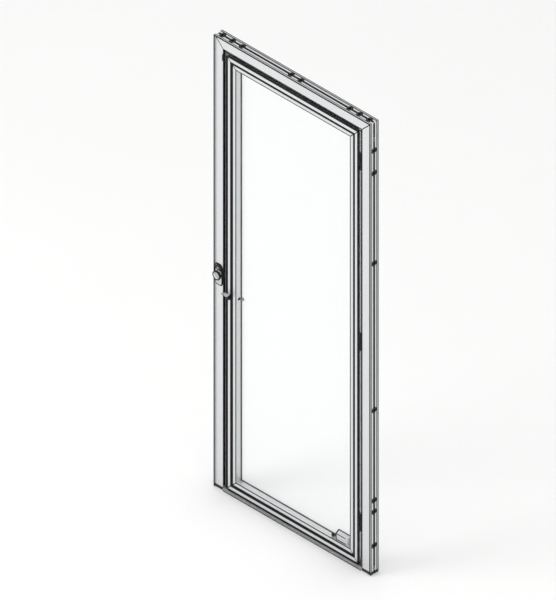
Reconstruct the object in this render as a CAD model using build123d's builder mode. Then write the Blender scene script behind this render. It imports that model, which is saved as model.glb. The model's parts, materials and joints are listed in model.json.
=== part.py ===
from build123d import *

import math
import os

# Framed glass door in its own three-sided frame, for a partition wall. Lengths are millimetres.
# Sections are drawn as (inset, depth): inset runs inwards from the frame's outer edge, and depth runs
# back from the front lip. X runs along the width, Y from front to back and Z upwards from the floor.

os.makedirs("parts", exist_ok=True)

# Overall size
frame_width = 992.0
frame_height = 2480.0
frame_depth = 55.0
overrun = 20.0
fit_gap = 0.1
slide_gap = 0.3
running_gap = 0.05

# Frame extrusion
lip = 6.0
face_width = 56.6
frame_wall = 2.5
land_width = 11.0
band_recess = 1.0
slot_width = 5.5
slot_depth = 4.0

# Frame corner keys
corner_key_thickness = 8.0
corner_key_reach = 95.0
corner_key_margin = 1.5

# Connector holes, placed in steps of the wall system's grid
grid_step = 62.0
head_end_shares = (0.5, 1.5, 2.5)
head_middle_share = 0.5
side_foot_shares = (2.5, 5.5, 6.5, 14.5)
side_top_shares = (2.5, 4.5, 12.5)
pin_hole_foot_share = 0.5
pin_hole_top_share = 1.5
ferrule_flange = 27.0
ferrule_barrel = 22.0
ferrule_bore = 16.0
pin_hole = 14.0

# Feet and sill
foot_height = 16.5
foot_plug_height = 24.0
foot_plug_width = 28.0
foot_block_height = 10.5
sill_height = 16.0
sill_edge = 6.0
nosing_steps = 3
sill_wall = 2.5
sill_tongue = 30.0

# Stop strips and seals in the reveal
stop_front = 18.0
stop_reach = 22.4
stop_wall = 2.0
stop_leg_reach = 13.0
stop_leg = 3.0
stop_back_margin = 1.0
hinge_stop_front = 21.0
hinge_stop_reach = 14.9
seal_width = 7.0
seal_margin = 1.0
seal_gap = 0.3
gasket_margin = 0.5
gasket_depth = 10.0
gasket_thickness = 1.6
gasket_ribs = 5
backing_share = 0.45
rib_share = 0.55

# Leaf extrusions
leaf_gap = 25.4
leaf_proud = 1.0
leaf_bottom = 27.5
tube_width = 22.5
leaf_wall = 2.0
rear_flange = 2.5
groove_width = 7.0
bead_width = 23.0
bead_setback = 3.0
bead_wall = 1.8
bead_foot = 6.0
bead_foot_setback = 13.0
leaf_key_reach = 85.0
leaf_key_margin = 0.3
edge_gasket_front = 2.0
edge_gasket_depth = 9.0
edge_gasket_thickness = 1.2
edge_lip_reach = 9.0

# Glazing
glass_thickness = 6.0
glass_gasket = 2.0
glass_gasket_width = 8.0
glass_gasket_margin = 0.5
glass_bite = 22.5
groove_gasket_depth = 11.5
groove_shoulder = 2.0
groove_cap_overlap = 2.5
groove_cap_thickness = 0.8
groove_cap_edge = 0.4
setting_block_length = 100.0
setting_block_share = 0.25
setting_block_depth = 8.0

# Bottom brush
brush_holder_depth = 9.0
brush_holder_height = 4.0
brush_depth = 5.0
brush_margin = 4.0
brush_gap = 0.5

# Hinges, in the gap at the right
hinge_shares = (0.1, 0.5, 0.9)
hinge_height = 100.0
hinge_knuckles = 5
hinge_inset = 77.0
hinge_depth = 22.0
barrel_radius = 4.5
hinge_pin_radius = 2.5
hinge_cap_radius = 4.0
hinge_cap_height = 3.0
hinge_block_depth = 18.0
hinge_web = 3.5
hinge_plate = 2.5
hinge_plate_depth = 24.0

# Lock in the left jamb
lock_inset = 28.0
lock_height = 1175.0
plate_width = 44.0
plate_height = 113.0
plate_corner = 16.0
plate_thickness = 3.0
plate_edge = 0.8
rose_radius = 19.0
rose_height = 2.2
case_wall = 1.5
case_height = 108.0
case_depth = 33.5
case_side_gap = 0.5
spindle_radius = 5.0
spindle_tail_radius = 3.0
spindle_tail = 6.0
pinion_module = 1.5
pinion_teeth = 12
pinion_front = 24.0
pinion_width = 9.0
addendum_share = 0.7
dedendum_share = 1.25
backlash = 0.2
pressure_angle = 20.0
bolt_height = 15.0
bolt_depth = 8.0
bolt_nose_edge = 1.5
rack_teeth_behind = 3
rack_teeth_ahead = 1

# Lock knob
knob_radius = 21.5
knob_neck_radius = 11.0
knob_neck = 3.0
knob_body = 10.0
knob_edge = 1.6
knob_grip_length = 34.0
knob_grip_width = 9.0
knob_grip_height = 2.0
knob_grip_angle = 135.0
knob_mark_radius = 2.4
knob_mark_depth = 0.8
knob_socket = 6.0

# Key cylinder
cylinder_rise = 37.0
cylinder_radius = 8.5
cylinder_length = 30.0
plug_radius = 6.0
plug_proud = 1.0
key_slot_width = 1.6
key_slot_height = 8.0
key_slot_depth = 12.0
guard_width = 36.0
guard_straight = 9.0
guard_thickness = 4.0

# Strike plate in the leaf's edge
strike_width = 22.0
strike_height = 54.0
strike_thickness = 1.2

# Pulls, caps and clip
pull_top = 1098.0
pull_height = 28.0
pull_reach = 28.0
pull_width = 40.0
pull_overhang = 19.0
pull_top_shares = ((0.90, 0.0), (0.27, 0.0), (0.15, 0.18), (0.0, 0.79), (0.25, 0.77), (0.82, 1.0),
                   (1.0, 0.89), (1.0, 0.29))
pull_foot_shares = ((0.88, 0.0), (0.50, 0.0), (0.47, 0.07), (0.46, 0.20), (0.55, 0.22), (0.80, 0.27),
                    (0.92, 0.22), (0.92, 0.10))
rear_knob_inset = 122.0
rear_knob_height = 1056.0
rear_knob_radius = 9.0
rear_knob_neck_radius = 4.5
rear_knob_length = 16.0
rear_knob_neck = 6.0
rear_knob_edge = 1.5
cap_height = 1081.0
cap_radius = 7.0
cap_depth = 27.5
cap_proud = 1.5
cap_edge = 0.6
clip_height = 27.0
clip_drop = 85.0
clip_reach = 5.4
clip_proud = 10.0
clip_grip = 7.0
clip_thickness = 2.0

# Housing at the bottom right of the daylight opening
housing_right = 156.0
housing_length = 77.0
housing_front = 16.0
housing_front_height = 34.0
housing_rise = 12.0
housing_round = 14.0
adjuster_stem_radius = 3.0
adjuster_stem_socket = 10.0
adjuster_gap = 20.0
adjuster_radius = 8.5
adjuster_length = 10.0
adjuster_edge = 1.5

# Worked out from the sizes above
half_width = frame_width / 2
half_depth = frame_depth / 2
face_back = frame_depth - lip
cavity_out = band_recess + slot_depth + frame_wall
cavity_in = face_width - frame_wall
cavity_front = lip + frame_wall
cavity_back = face_back - frame_wall
leaf_front = lip - leaf_proud
bead_front = leaf_front + bead_setback
leaf_edge = face_width + leaf_gap
tube_edge = leaf_edge + tube_width
bead_edge = tube_edge + groove_width
daylight = bead_edge + bead_width
flange_front = face_back - rear_flange
glass_back = flange_front - glass_gasket
glass_front = glass_back - glass_thickness
bead_back = glass_front - glass_gasket
glass_edge = daylight - glass_bite
leaf_base = leaf_bottom - leaf_edge
stop_back = frame_depth - stop_back_margin
stop_leg_front = stop_back - stop_leg
stop_foot = foot_height + foot_block_height
pitch_radius = pinion_module * pinion_teeth / 2
tooth_pitch = math.pi * pinion_module
rack_line = lock_height + pitch_radius
bolt_bottom = rack_line + dedendum_share * pinion_module
bolt_top = bolt_bottom + bolt_height
bolt_front = pinion_front + (pinion_width - bolt_depth) / 2
bolt_back = bolt_front + bolt_depth
bolt_tip = face_width + stop_reach - gasket_margin
plate_front = lip - plate_thickness
rose_front = plate_front - rose_height
case_out = cavity_out + case_side_gap
case_in = cavity_in - case_side_gap
case_low = lock_height - case_height / 2
case_high = lock_height + case_height / 2
case_back = cavity_front + case_depth
cover_front = case_back - case_wall
cylinder_height = lock_height + cylinder_rise
knob_back = rose_front - slide_gap
knob_front = knob_back - knob_neck - knob_body
spindle_front = knob_back - knob_socket

left_plane = Plane(origin=(-half_width, -half_depth, 0), x_dir=(1, 0, 0), z_dir=(0, 0, 1))
right_plane = Plane(origin=(half_width, -half_depth, 0), x_dir=(-1, 0, 0), z_dir=(0, 0, -1))
head_plane = Plane(origin=(-half_width, -half_depth, frame_height), x_dir=(0, 0, -1), z_dir=(1, 0, 0))
base_plane = Plane(origin=(half_width, -half_depth, leaf_base), x_dir=(0, 0, 1), z_dir=(-1, 0, 0))
top_left = Plane(origin=(-half_width, 0, frame_height), z_dir=(1, 0, 1))
top_right = Plane(origin=(half_width, 0, frame_height), z_dir=(-1, 0, 1))
base_left = Plane(origin=(-half_width, 0, leaf_base), z_dir=(1, 0, -1))
base_right = Plane(origin=(half_width, 0, leaf_base), z_dir=(-1, 0, -1))


def save(piece, name):
    """Label a finished piece and write its file."""
    piece.part.label = name
    export_step(piece.part, f"parts/{name}.step")


def left_point(inset, depth, height):
    """Place in the model of an inset from the left edge, a depth and a height."""
    return (inset - half_width, depth - half_depth, height)


def right_point(inset, depth, height):
    """Place in the model of an inset from the right edge, a depth and a height."""
    return (half_width - inset, depth - half_depth, height)


def front_plane(inset, depth, height):
    """Plane that faces the front, at an inset from the left edge."""
    return Plane(origin=left_point(inset, depth, height), x_dir=(1, 0, 0), z_dir=(0, -1, 0))


def area_between(low, high, mode=Mode.ADD):
    """Rectangle of the current sketch between two corners."""
    with Locations(((low[0] + high[0]) / 2, (low[1] + high[1]) / 2)):
        Rectangle(abs(high[0] - low[0]), abs(high[1] - low[1]), mode=mode)


def block_between(low, high, mode=Mode.ADD):
    """Box of the current part between two corners."""
    with Locations(tuple((a + b) / 2 for a, b in zip(low, high))):
        Box(*(abs(b - a) for a, b in zip(low, high)), mode=mode)


def disc(plane, radius, length, mode=Mode.ADD):
    """Round bar of the current part along a plane's normal, or a cut of that form."""
    with BuildSketch(plane) as face:
        Circle(radius)
    extrude(face.sketch, amount=length, mode=mode)


def outline(*points):
    """Closed face of the current sketch through its corners."""
    with BuildLine() as loop:
        Polyline(*points, close=True)
    make_face(loop.edges())


def along(side, start, stop):
    """Sketch plane and extrusion length of a bar on one side, from start to stop along that side."""
    if side == "left":
        return left_plane.offset(start), stop - start
    if side == "right":
        return right_plane.offset(-start), start - stop
    if side == "head":
        return head_plane.offset(start), stop - start
    return base_plane.offset(start), stop - start


def mitred_bar(section, side, start, stop, mitres):
    """Bar of one section along one side, cut off at its mitre planes."""
    keep = Keep.BOTTOM if side in ("left", "right") else Keep.TOP
    plane, length = along(side, start, stop)
    with BuildPart() as bar:
        with BuildSketch(plane):
            section()
        extrude(amount=length)
        for mitre in mitres:
            split(bisect_by=mitre, keep=keep)
    return bar


# Frame: jambs and head rail

def frame_outline():
    """Outer form of the frame extrusion: bevelled lips, stepped outer side and its middle slot."""
    slot_front = half_depth - slot_width / 2
    slot_back = half_depth + slot_width / 2
    slot_floor = band_recess + slot_depth
    land_back = frame_depth - land_width
    outline((0, 0), (lip, lip), (face_width, lip), (face_width, face_back), (lip, face_back),
            (0, frame_depth), (0, land_back), (band_recess, land_back), (band_recess, slot_back),
            (slot_floor, slot_back), (slot_floor, slot_front), (band_recess, slot_front),
            (band_recess, land_width), (0, land_width))


def frame_section():
    """Hollow frame extrusion."""
    frame_outline()
    area_between((cavity_out, cavity_front), (cavity_in, cavity_back), Mode.SUBTRACT)


side_heights = [share * grid_step for share in side_foot_shares]
side_heights += [frame_height - share * grid_step for share in side_top_shares]
pin_heights = [pin_hole_foot_share * grid_step, frame_height - pin_hole_top_share * grid_step]
head_places = [share * grid_step for share in head_end_shares]
head_places += [frame_width - share * grid_step for share in head_end_shares]
head_places += [half_width - head_middle_share * grid_step, half_width + head_middle_share * grid_step]
barrel_hole = ferrule_barrel / 2 + fit_gap


def drill(plane, radius, depth):
    """Round hole into the current part along a plane's normal."""
    disc(plane, radius, depth, Mode.SUBTRACT)


def side_holes(place, inwards):
    """Connector and pin holes through a jamb's outer wall."""
    for height in side_heights:
        drill(Plane(origin=place(0, half_depth, height), z_dir=inwards), barrel_hole, cavity_out)
    for height in pin_heights:
        drill(Plane(origin=place(0, half_depth, height), z_dir=inwards), pin_hole / 2, cavity_out)


def bolt_window(inset_from, inset_to):
    """Opening for the lock bolt between two insets of the left side."""
    block_between(left_point(inset_from, bolt_front - slide_gap, bolt_bottom - slide_gap),
                  left_point(inset_to, bolt_back + slide_gap, bolt_top + slide_gap), Mode.SUBTRACT)


left_bar = mitred_bar(frame_section, "left", foot_height, frame_height, (top_left,))
with BuildPart() as left_jamb:
    add(left_bar.part)
    side_holes(left_point, (1, 0, 0))
    bolt_window(cavity_in - frame_wall, face_width + frame_wall)
    drill(front_plane(lock_inset, cavity_front, lock_height), spindle_radius + frame_wall, frame_wall)
    drill(front_plane(lock_inset, cavity_front, cylinder_height), cylinder_radius + fit_gap, frame_wall)
save(left_jamb, "left_jamb")

right_bar = mitred_bar(frame_section, "right", foot_height, frame_height, (top_right,))
with BuildPart() as right_jamb:
    add(right_bar.part)
    side_holes(right_point, (-1, 0, 0))
save(right_jamb, "right_jamb")

head_bar = mitred_bar(frame_section, "head", 0, frame_width, (top_left, top_right))
with BuildPart() as head_rail:
    add(head_bar.part)
    for place in head_places:
        drill(Plane(origin=left_point(place, half_depth, frame_height), z_dir=(0, 0, -1)),
              barrel_hole, cavity_out)
save(head_rail, "head_rail")

# Frame: corner keys, an angle bracket that lies along the inner walls of each mitre

key_out = cavity_in - corner_key_thickness
key_end = cavity_in + corner_key_reach
with BuildPart() as frame_corner_keys:
    for place in (left_point, right_point):
        front = cavity_front + corner_key_margin
        back = cavity_back - corner_key_margin
        block_between(place(key_out, front, frame_height - key_out),
                      place(cavity_in, back, frame_height - key_end))
        block_between(place(key_out, front, frame_height - key_out),
                      place(key_end, back, frame_height - cavity_in))
save(frame_corner_keys, "frame_corner_keys")

# Frame: connector ferrules, flanged bushes in the outer holes

def ferrules(planes):
    """Group of flanged bushes, one on each plane."""
    with BuildPart() as group:
        for plane in planes:
            with BuildSketch(plane):
                Circle(ferrule_flange / 2)
                Circle(ferrule_bore / 2, mode=Mode.SUBTRACT)
            extrude(amount=band_recess)
            with BuildSketch(plane):
                Circle(ferrule_barrel / 2)
                Circle(ferrule_bore / 2, mode=Mode.SUBTRACT)
            extrude(amount=cavity_out)
    return group


save(ferrules([Plane(origin=left_point(0, half_depth, height), z_dir=(1, 0, 0))
               for height in side_heights]), "left_ferrules")
save(ferrules([Plane(origin=right_point(0, half_depth, height), z_dir=(-1, 0, 0))
               for height in side_heights]), "right_ferrules")
save(ferrules([Plane(origin=left_point(place, half_depth, frame_height), z_dir=(0, 0, -1))
               for place in head_places]), "head_ferrules")

# Frame: feet and sill, whose front and back rise in small steps

tongue_front = lip + sill_wall + slide_gap
tongue_low = sill_wall + slide_gap
tongue_high = sill_height - sill_wall - slide_gap
for name, side, place in (("left_foot", "left", left_point), ("right_foot", "right", right_point)):
    plane, length = along(side, 0, foot_height)
    with BuildPart() as foot:
        with BuildSketch(plane):
            frame_outline()
        extrude(amount=length)
        block_between(place(cavity_in - foot_plug_width, cavity_front + fit_gap, foot_height),
                      place(cavity_in - fit_gap, cavity_back - fit_gap, foot_height + foot_plug_height))
        block_between(place(face_width, tongue_front, tongue_low),
                      place(face_width + sill_tongue, frame_depth - tongue_front, tongue_high))
    save(foot, name)

nosing = [(0, 0)]
for step in range(nosing_steps):
    tread = sill_edge + (step + 1) * (sill_height - sill_edge) / nosing_steps
    nosing += [(step * lip / nosing_steps, tread), ((step + 1) * lip / nosing_steps, tread)]
rear_nosing = [(frame_depth - depth, height) for depth, height in reversed(nosing)]
with BuildPart() as sill:
    with BuildSketch(Plane(origin=left_point(face_width, 0, 0), x_dir=(0, 1, 0), z_dir=(1, 0, 0))):
        outline(*nosing, *rear_nosing)
        area_between((lip + sill_wall, sill_wall), (face_back - sill_wall, sill_height - sill_wall),
                     Mode.SUBTRACT)
    extrude(amount=frame_width - 2 * face_width)
save(sill, "sill")

# Reveal: stop strips with a leg behind the leaf, on shoes that stand on the sill

def stop_section(front, reach):
    """Hollow strip on the reveal, with a leg that reaches behind the leaf."""
    edge = face_width + reach
    leg_end = face_width + stop_reach + stop_leg_reach
    outline((face_width, front), (edge, front), (edge, stop_leg_front), (leg_end, stop_leg_front),
            (leg_end, stop_back), (face_width, stop_back))
    area_between((face_width + stop_wall, front + stop_wall),
                 (edge - stop_wall, stop_leg_front - stop_wall), Mode.SUBTRACT)


def lock_stop_section():
    """Stop strip of the lock side and the head."""
    stop_section(stop_front, stop_reach)


def hinge_stop_section():
    """Narrower stop strip of the hinge side, set back behind the hinge barrels."""
    stop_section(hinge_stop_front, hinge_stop_reach)


hinge_heights = [share * frame_height for share in hinge_shares]
hinge_block_back = hinge_stop_front + hinge_block_depth
lock_stop_bar = mitred_bar(lock_stop_section, "left", stop_foot, frame_height, (top_left,))
with BuildPart() as left_stop:
    add(lock_stop_bar.part)
    bolt_window(face_width - stop_wall, face_width + stop_reach + stop_wall)
save(left_stop, "left_stop")

hinge_stop_bar = mitred_bar(hinge_stop_section, "right", stop_foot, frame_height, (top_right,))
with BuildPart() as right_stop:
    add(hinge_stop_bar.part)
    for height in hinge_heights:
        low = height - hinge_height / 2 - slide_gap
        high = height + hinge_height / 2 + slide_gap
        reach_in = face_width + hinge_stop_reach + overrun
        block_between(right_point(face_width - overrun, hinge_stop_front - overrun, low),
                      right_point(reach_in, hinge_block_back + slide_gap, high), Mode.SUBTRACT)
save(right_stop, "right_stop")

save(mitred_bar(lock_stop_section, "head", 0, frame_width, (top_left, top_right)), "head_stop")

for name, place, front, reach in (("left_stop_shoe", left_point, stop_front, stop_reach),
                                  ("right_stop_shoe", right_point, hinge_stop_front, hinge_stop_reach)):
    with BuildPart() as shoe:
        block_between(place(face_width, front, sill_height),
                      place(face_width + reach, face_back, stop_foot))
    save(shoe, name)

# Reveal: rubber seals on the legs and ribbed gaskets in front of the stops

def seal_section():
    """Seal that the leaf's back closes against."""
    start = leaf_edge + seal_margin
    area_between((start, face_back + seal_gap), (start + seal_width, stop_leg_front))


def ribbed_section(root, tip, front, back):
    """Comb of ribs that stand from a backing at the root inset out to the tip inset."""
    backing = root + (tip - root) * backing_share
    pitch = (back - front) / gasket_ribs
    area_between((root, front), (backing, back))
    for rib in range(gasket_ribs):
        start = front + rib * pitch
        area_between((root, start), (tip, start + pitch * rib_share))


def frame_gasket_section():
    """Ribbed gasket on the frame's reveal."""
    front = lip + gasket_margin
    ribbed_section(face_width, face_width + gasket_thickness, front, front + gasket_depth)


def edge_gasket_section():
    """Ribbed gasket on the leaf's outer edge."""
    front = leaf_front + edge_gasket_front
    ribbed_section(leaf_edge, leaf_edge - edge_gasket_thickness, front, front + edge_gasket_depth)


def edge_lip_section():
    """Flat lip of the edge gasket, level with the leaf's front face."""
    area_between((leaf_edge - edge_lip_reach, leaf_front), (leaf_edge, leaf_front + edge_gasket_front))


for label, section in (("stop_seal", seal_section), ("frame_gasket", frame_gasket_section)):
    left_strip = mitred_bar(section, "left", stop_foot, frame_height, (top_left,))
    right_strip = mitred_bar(section, "right", stop_foot, frame_height, (top_right,))
    with BuildPart() as side_strips:
        add(left_strip.part)
        add(right_strip.part)
    save(side_strips, f"side_{label}s")
    save(mitred_bar(section, "head", 0, frame_width, (top_left, top_right)), f"head_{label}")

# Leaf: stiles, rails and glazing beads, mitred at all four corners

def leaf_section():
    """Leaf extrusion: a tube with a flange behind the glass."""
    outline((leaf_edge, leaf_front), (tube_edge, leaf_front), (tube_edge, flange_front),
            (daylight, flange_front), (daylight, face_back), (leaf_edge, face_back))
    area_between((leaf_edge + leaf_wall, leaf_front + leaf_wall),
                 (tube_edge - leaf_wall, face_back - leaf_wall), Mode.SUBTRACT)


def bead_section():
    """Hollow glazing bead with the foot that snaps against the tube."""
    foot_front = bead_front + bead_foot_setback
    area_between((bead_edge, bead_front), (daylight, bead_back))
    area_between((tube_edge, foot_front), (bead_edge, foot_front + bead_foot))
    area_between((bead_edge + bead_wall, bead_front + bead_wall),
                 (daylight - bead_wall, bead_back - bead_wall), Mode.SUBTRACT)


def leaf_bar(section, side):
    """Leaf member of one section, mitred to its neighbours."""
    if side in ("left", "right"):
        corners = (top_left, base_left) if side == "left" else (top_right, base_right)
        return mitred_bar(section, side, leaf_bottom, frame_height, corners)
    corners = (top_left, top_right) if side == "head" else (base_left, base_right)
    return mitred_bar(section, side, 0, frame_width, corners)


left_stile_bar = leaf_bar(leaf_section, "left")
with BuildPart() as left_stile:
    add(left_stile_bar.part)
    bolt_window(leaf_edge - leaf_wall, leaf_edge + 2 * leaf_wall)
save(left_stile, "left_stile")
save(leaf_bar(leaf_section, "right"), "right_stile")
save(leaf_bar(leaf_section, "head"), "top_rail")
save(leaf_bar(leaf_section, "base"), "bottom_rail")
for name, side in (("left_bead", "left"), ("right_bead", "right"),
                   ("top_bead", "head"), ("bottom_bead", "base")):
    save(leaf_bar(bead_section, side), name)

# Leaf: ribbed gaskets on the outer edges of the stiles and the top rail. The lock side and the top also
# have a lip that hides part of the gap; the hinge side has none, because it would meet the stop there.

with BuildPart() as side_edge_gaskets:
    for side in ("left", "right"):
        plane, length = along(side, leaf_bottom, frame_height - leaf_edge)
        with BuildSketch(plane):
            edge_gasket_section()
            if side == "left":
                edge_lip_section()
        extrude(amount=length)
save(side_edge_gaskets, "side_edge_gaskets")

with BuildPart() as top_edge_gasket:
    plane, length = along("head", leaf_edge, frame_width - leaf_edge)
    with BuildSketch(plane):
        edge_gasket_section()
        edge_lip_section()
    extrude(amount=length)
save(top_edge_gasket, "top_edge_gasket")

# Leaf: corner keys inside the tubes

key_low = leaf_edge + leaf_wall + leaf_key_margin
key_high = tube_edge - leaf_wall - leaf_key_margin
key_reach_end = key_low + leaf_key_reach
with BuildPart() as leaf_corner_keys:
    for place in (left_point, right_point):
        for height in (lambda inset: frame_height - inset, lambda inset: leaf_base + inset):
            front = leaf_front + leaf_wall + leaf_key_margin
            back = face_back - leaf_wall - leaf_key_margin
            corner = place(key_low, front, height(key_low))
            block_between(corner, place(key_high, back, height(key_reach_end)))
            block_between(corner, place(key_reach_end, back, height(key_high)))
save(leaf_corner_keys, "leaf_corner_keys")

# Glazing: rings of gasket, the pane and its setting blocks

def leaf_ring(outer, inner, front, back):
    """Rectangular ring round the daylight opening, between two insets and two depths."""
    with BuildPart() as ring:
        low, high = leaf_base + outer, frame_height - outer
        with BuildSketch(front_plane(half_width, back, (low + high) / 2)):
            Rectangle(frame_width - 2 * outer, high - low)
            Rectangle(frame_width - 2 * inner, high - low - 2 * (inner - outer), mode=Mode.SUBTRACT)
        extrude(amount=back - front)
    return ring


groove_stem = leaf_ring(tube_edge, bead_edge, leaf_front, leaf_front + groove_gasket_depth)
tube_cap = leaf_ring(tube_edge - groove_cap_overlap, bead_edge,
                     leaf_front - groove_cap_thickness, leaf_front)
bead_cap = leaf_ring(bead_edge, bead_edge + groove_cap_overlap,
                     bead_front - groove_cap_thickness, bead_front)
with BuildPart() as groove_gasket:
    add(groove_stem.part)
    add(tube_cap.part)
    add(bead_cap.part)
    chamfer(groove_gasket.faces().sort_by(Axis.Y)[0].outer_wire().edges(), groove_cap_edge)
    chamfer(groove_gasket.faces().sort_by(Axis.Y)[0].inner_wires()[0].edges(), groove_shoulder)
save(groove_gasket, "groove_gasket")

gasket_in = daylight - glass_gasket_margin
gasket_out = gasket_in - glass_gasket_width
front_gasket = leaf_ring(gasket_out, gasket_in, bead_back, glass_front)
rear_gasket = leaf_ring(gasket_out, gasket_in, glass_back, flange_front)
with BuildPart() as glass_gaskets:
    add(front_gasket.part)
    add(rear_gasket.part)
save(glass_gaskets, "glass_gaskets")

glass_low = leaf_base + glass_edge
glass_high = frame_height - glass_edge
with BuildPart() as glass_pane:
    block_between(left_point(glass_edge, glass_front, glass_low),
                  right_point(glass_edge, glass_back, glass_high))
save(glass_pane, "glass_pane")

with BuildPart() as setting_blocks:
    glass_width = frame_width - 2 * glass_edge
    middle = (glass_front + glass_back) / 2
    for share in (setting_block_share, 1 - setting_block_share):
        start = glass_edge + share * glass_width - setting_block_length / 2
        block_between(left_point(start, middle - setting_block_depth / 2, leaf_base + tube_edge),
                      left_point(start + setting_block_length, middle + setting_block_depth / 2, glass_low))
save(setting_blocks, "setting_blocks")

# Leaf: brush under the bottom rail

with BuildPart() as bottom_brush:
    start = leaf_edge + brush_margin
    block_between(left_point(start, half_depth - brush_holder_depth / 2, leaf_bottom - brush_holder_height),
                  right_point(start, half_depth + brush_holder_depth / 2, leaf_bottom))
    block_between(left_point(start, half_depth - brush_depth / 2, sill_height + brush_gap),
                  right_point(start, half_depth + brush_depth / 2, leaf_bottom - brush_holder_height))
save(bottom_brush, "bottom_brush")

# Hinges: a block on the jamb's reveal, a plate on the leaf's edge, and a pin through their knuckles

knuckle_height = hinge_height / hinge_knuckles


def knuckles(height, numbers, web_inset):
    """Bored knuckles of one hinge half, each with a web to its block or plate."""
    for number in numbers:
        low = height - hinge_height / 2 + number * knuckle_height + slide_gap / 2
        high = low + knuckle_height - slide_gap
        disc(Plane(right_point(hinge_inset, hinge_depth, low)), barrel_radius, high - low)
        near = hinge_stop_front if web_inset < hinge_inset else hinge_depth
        far = near + hinge_web if web_inset < hinge_inset else hinge_depth + hinge_plate_depth
        block_between(right_point(web_inset, near, low), right_point(hinge_inset, far, high))
    bore = Plane(right_point(hinge_inset, hinge_depth, height - hinge_height / 2))
    disc(bore, hinge_pin_radius + running_gap, hinge_height, Mode.SUBTRACT)


for label, height in zip(("lower", "middle", "upper"), hinge_heights):
    low = height - hinge_height / 2
    high = height + hinge_height / 2
    with BuildPart() as hinge_block:
        block_between(right_point(face_width, hinge_stop_front, low),
                      right_point(face_width + hinge_stop_reach, hinge_block_back, high))
        knuckles(height, range(0, hinge_knuckles, 2), face_width + hinge_stop_reach)
    save(hinge_block, f"{label}_hinge_block")
    with BuildPart() as hinge_plate_part:
        plate_start = hinge_depth + barrel_radius + hinge_plate
        block_between(right_point(leaf_edge - hinge_plate, plate_start, low),
                      right_point(leaf_edge, hinge_depth + hinge_plate_depth, high))
        knuckles(height, range(1, hinge_knuckles, 2), leaf_edge)
    save(hinge_plate_part, f"{label}_hinge_plate")

with BuildPart() as hinge_pins:
    for height in hinge_heights:
        low = height - hinge_height / 2
        high = height + hinge_height / 2
        disc(Plane(right_point(hinge_inset, hinge_depth, low)), hinge_pin_radius, hinge_height)
        for start in (low - hinge_cap_height, high):
            disc(Plane(right_point(hinge_inset, hinge_depth, start)), hinge_cap_radius, hinge_cap_height)
save(hinge_pins, "hinge_pins")

# Lock: case and cover inside the left jamb

with BuildPart() as lock_case:
    block_between(left_point(case_out, cavity_front, case_low), left_point(case_in, cover_front, case_high))
    block_between(left_point(case_out + case_wall, cavity_front + case_wall, case_low + case_wall),
                  left_point(case_in - case_wall, case_back, case_high - case_wall), Mode.SUBTRACT)
    bolt_window(case_in - 2 * case_wall, case_in + case_wall)
    drill(front_plane(lock_inset, case_back, lock_height), spindle_radius + running_gap, case_depth)
    drill(front_plane(lock_inset, case_back, cylinder_height), cylinder_radius + fit_gap, case_depth)
save(lock_case, "lock_case")

with BuildPart() as lock_cover:
    block_between(left_point(case_out, cover_front, case_low), left_point(case_in, case_back, case_high))
    drill(front_plane(lock_inset, case_back, lock_height), spindle_tail_radius + running_gap, case_wall)
save(lock_cover, "lock_cover")

# Lock: plate on the jamb's face, with the round rose that the knob stands on

with BuildPart() as lock_plate:
    with BuildSketch(front_plane(lock_inset, lip, lock_height)):
        RectangleRounded(plate_width, plate_height, plate_corner)
    extrude(amount=plate_thickness)
    chamfer(lock_plate.faces().sort_by(Axis.Y)[0].edges(), plate_edge)
    disc(front_plane(lock_inset, plate_front, lock_height), rose_radius, rose_height)
    drill(front_plane(lock_inset, lip, lock_height), spindle_radius + fit_gap,
          plate_thickness + rose_height)
    drill(front_plane(lock_inset, lip, cylinder_height), cylinder_radius + fit_gap, plate_thickness)
save(lock_plate, "lock_plate")

# Lock: spindle with its pinion, and the bolt with the rack that the pinion drives

base_radius = pitch_radius * math.cos(math.radians(pressure_angle))
tip_radius = pitch_radius + addendum_share * pinion_module
root_radius = pitch_radius - dedendum_share * pinion_module


def involute(angle):
    """Involute function of an angle in radians."""
    return math.tan(angle) - angle


def flank_point(radius, hand):
    """Point of a pinion tooth's involute flank at a radius, for a tooth that points along X."""
    pitch_half_angle = (tooth_pitch - 2 * backlash) / (4 * pitch_radius)
    turn = involute(math.radians(pressure_angle)) - involute(math.acos(base_radius / radius))
    angle = hand * (pitch_half_angle + turn)
    return (radius * math.cos(angle), radius * math.sin(angle))


with BuildSketch() as pinion_tooth:
    with BuildLine():
        for hand in (-1, 1):
            ThreePointArc(flank_point(base_radius, hand), flank_point(pitch_radius, hand),
                          flank_point(tip_radius, hand))
        ThreePointArc(flank_point(tip_radius, -1), (tip_radius, 0), flank_point(tip_radius, 1))
        Polyline(flank_point(base_radius, -1), (0, 0), flank_point(base_radius, 1))
    make_face()

with BuildPart() as lock_spindle:
    with BuildSketch(front_plane(lock_inset, pinion_front + pinion_width, lock_height)):
        Circle(root_radius)
        with PolarLocations(0, pinion_teeth, start_angle=180 / pinion_teeth):
            add(pinion_tooth.sketch)
    extrude(amount=pinion_width)
    shoulder = case_back - spindle_tail
    disc(front_plane(lock_inset, shoulder, lock_height), spindle_radius, shoulder - spindle_front)
    disc(front_plane(lock_inset, case_back, lock_height), spindle_tail_radius, spindle_tail)
save(lock_spindle, "lock_spindle")

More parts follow.
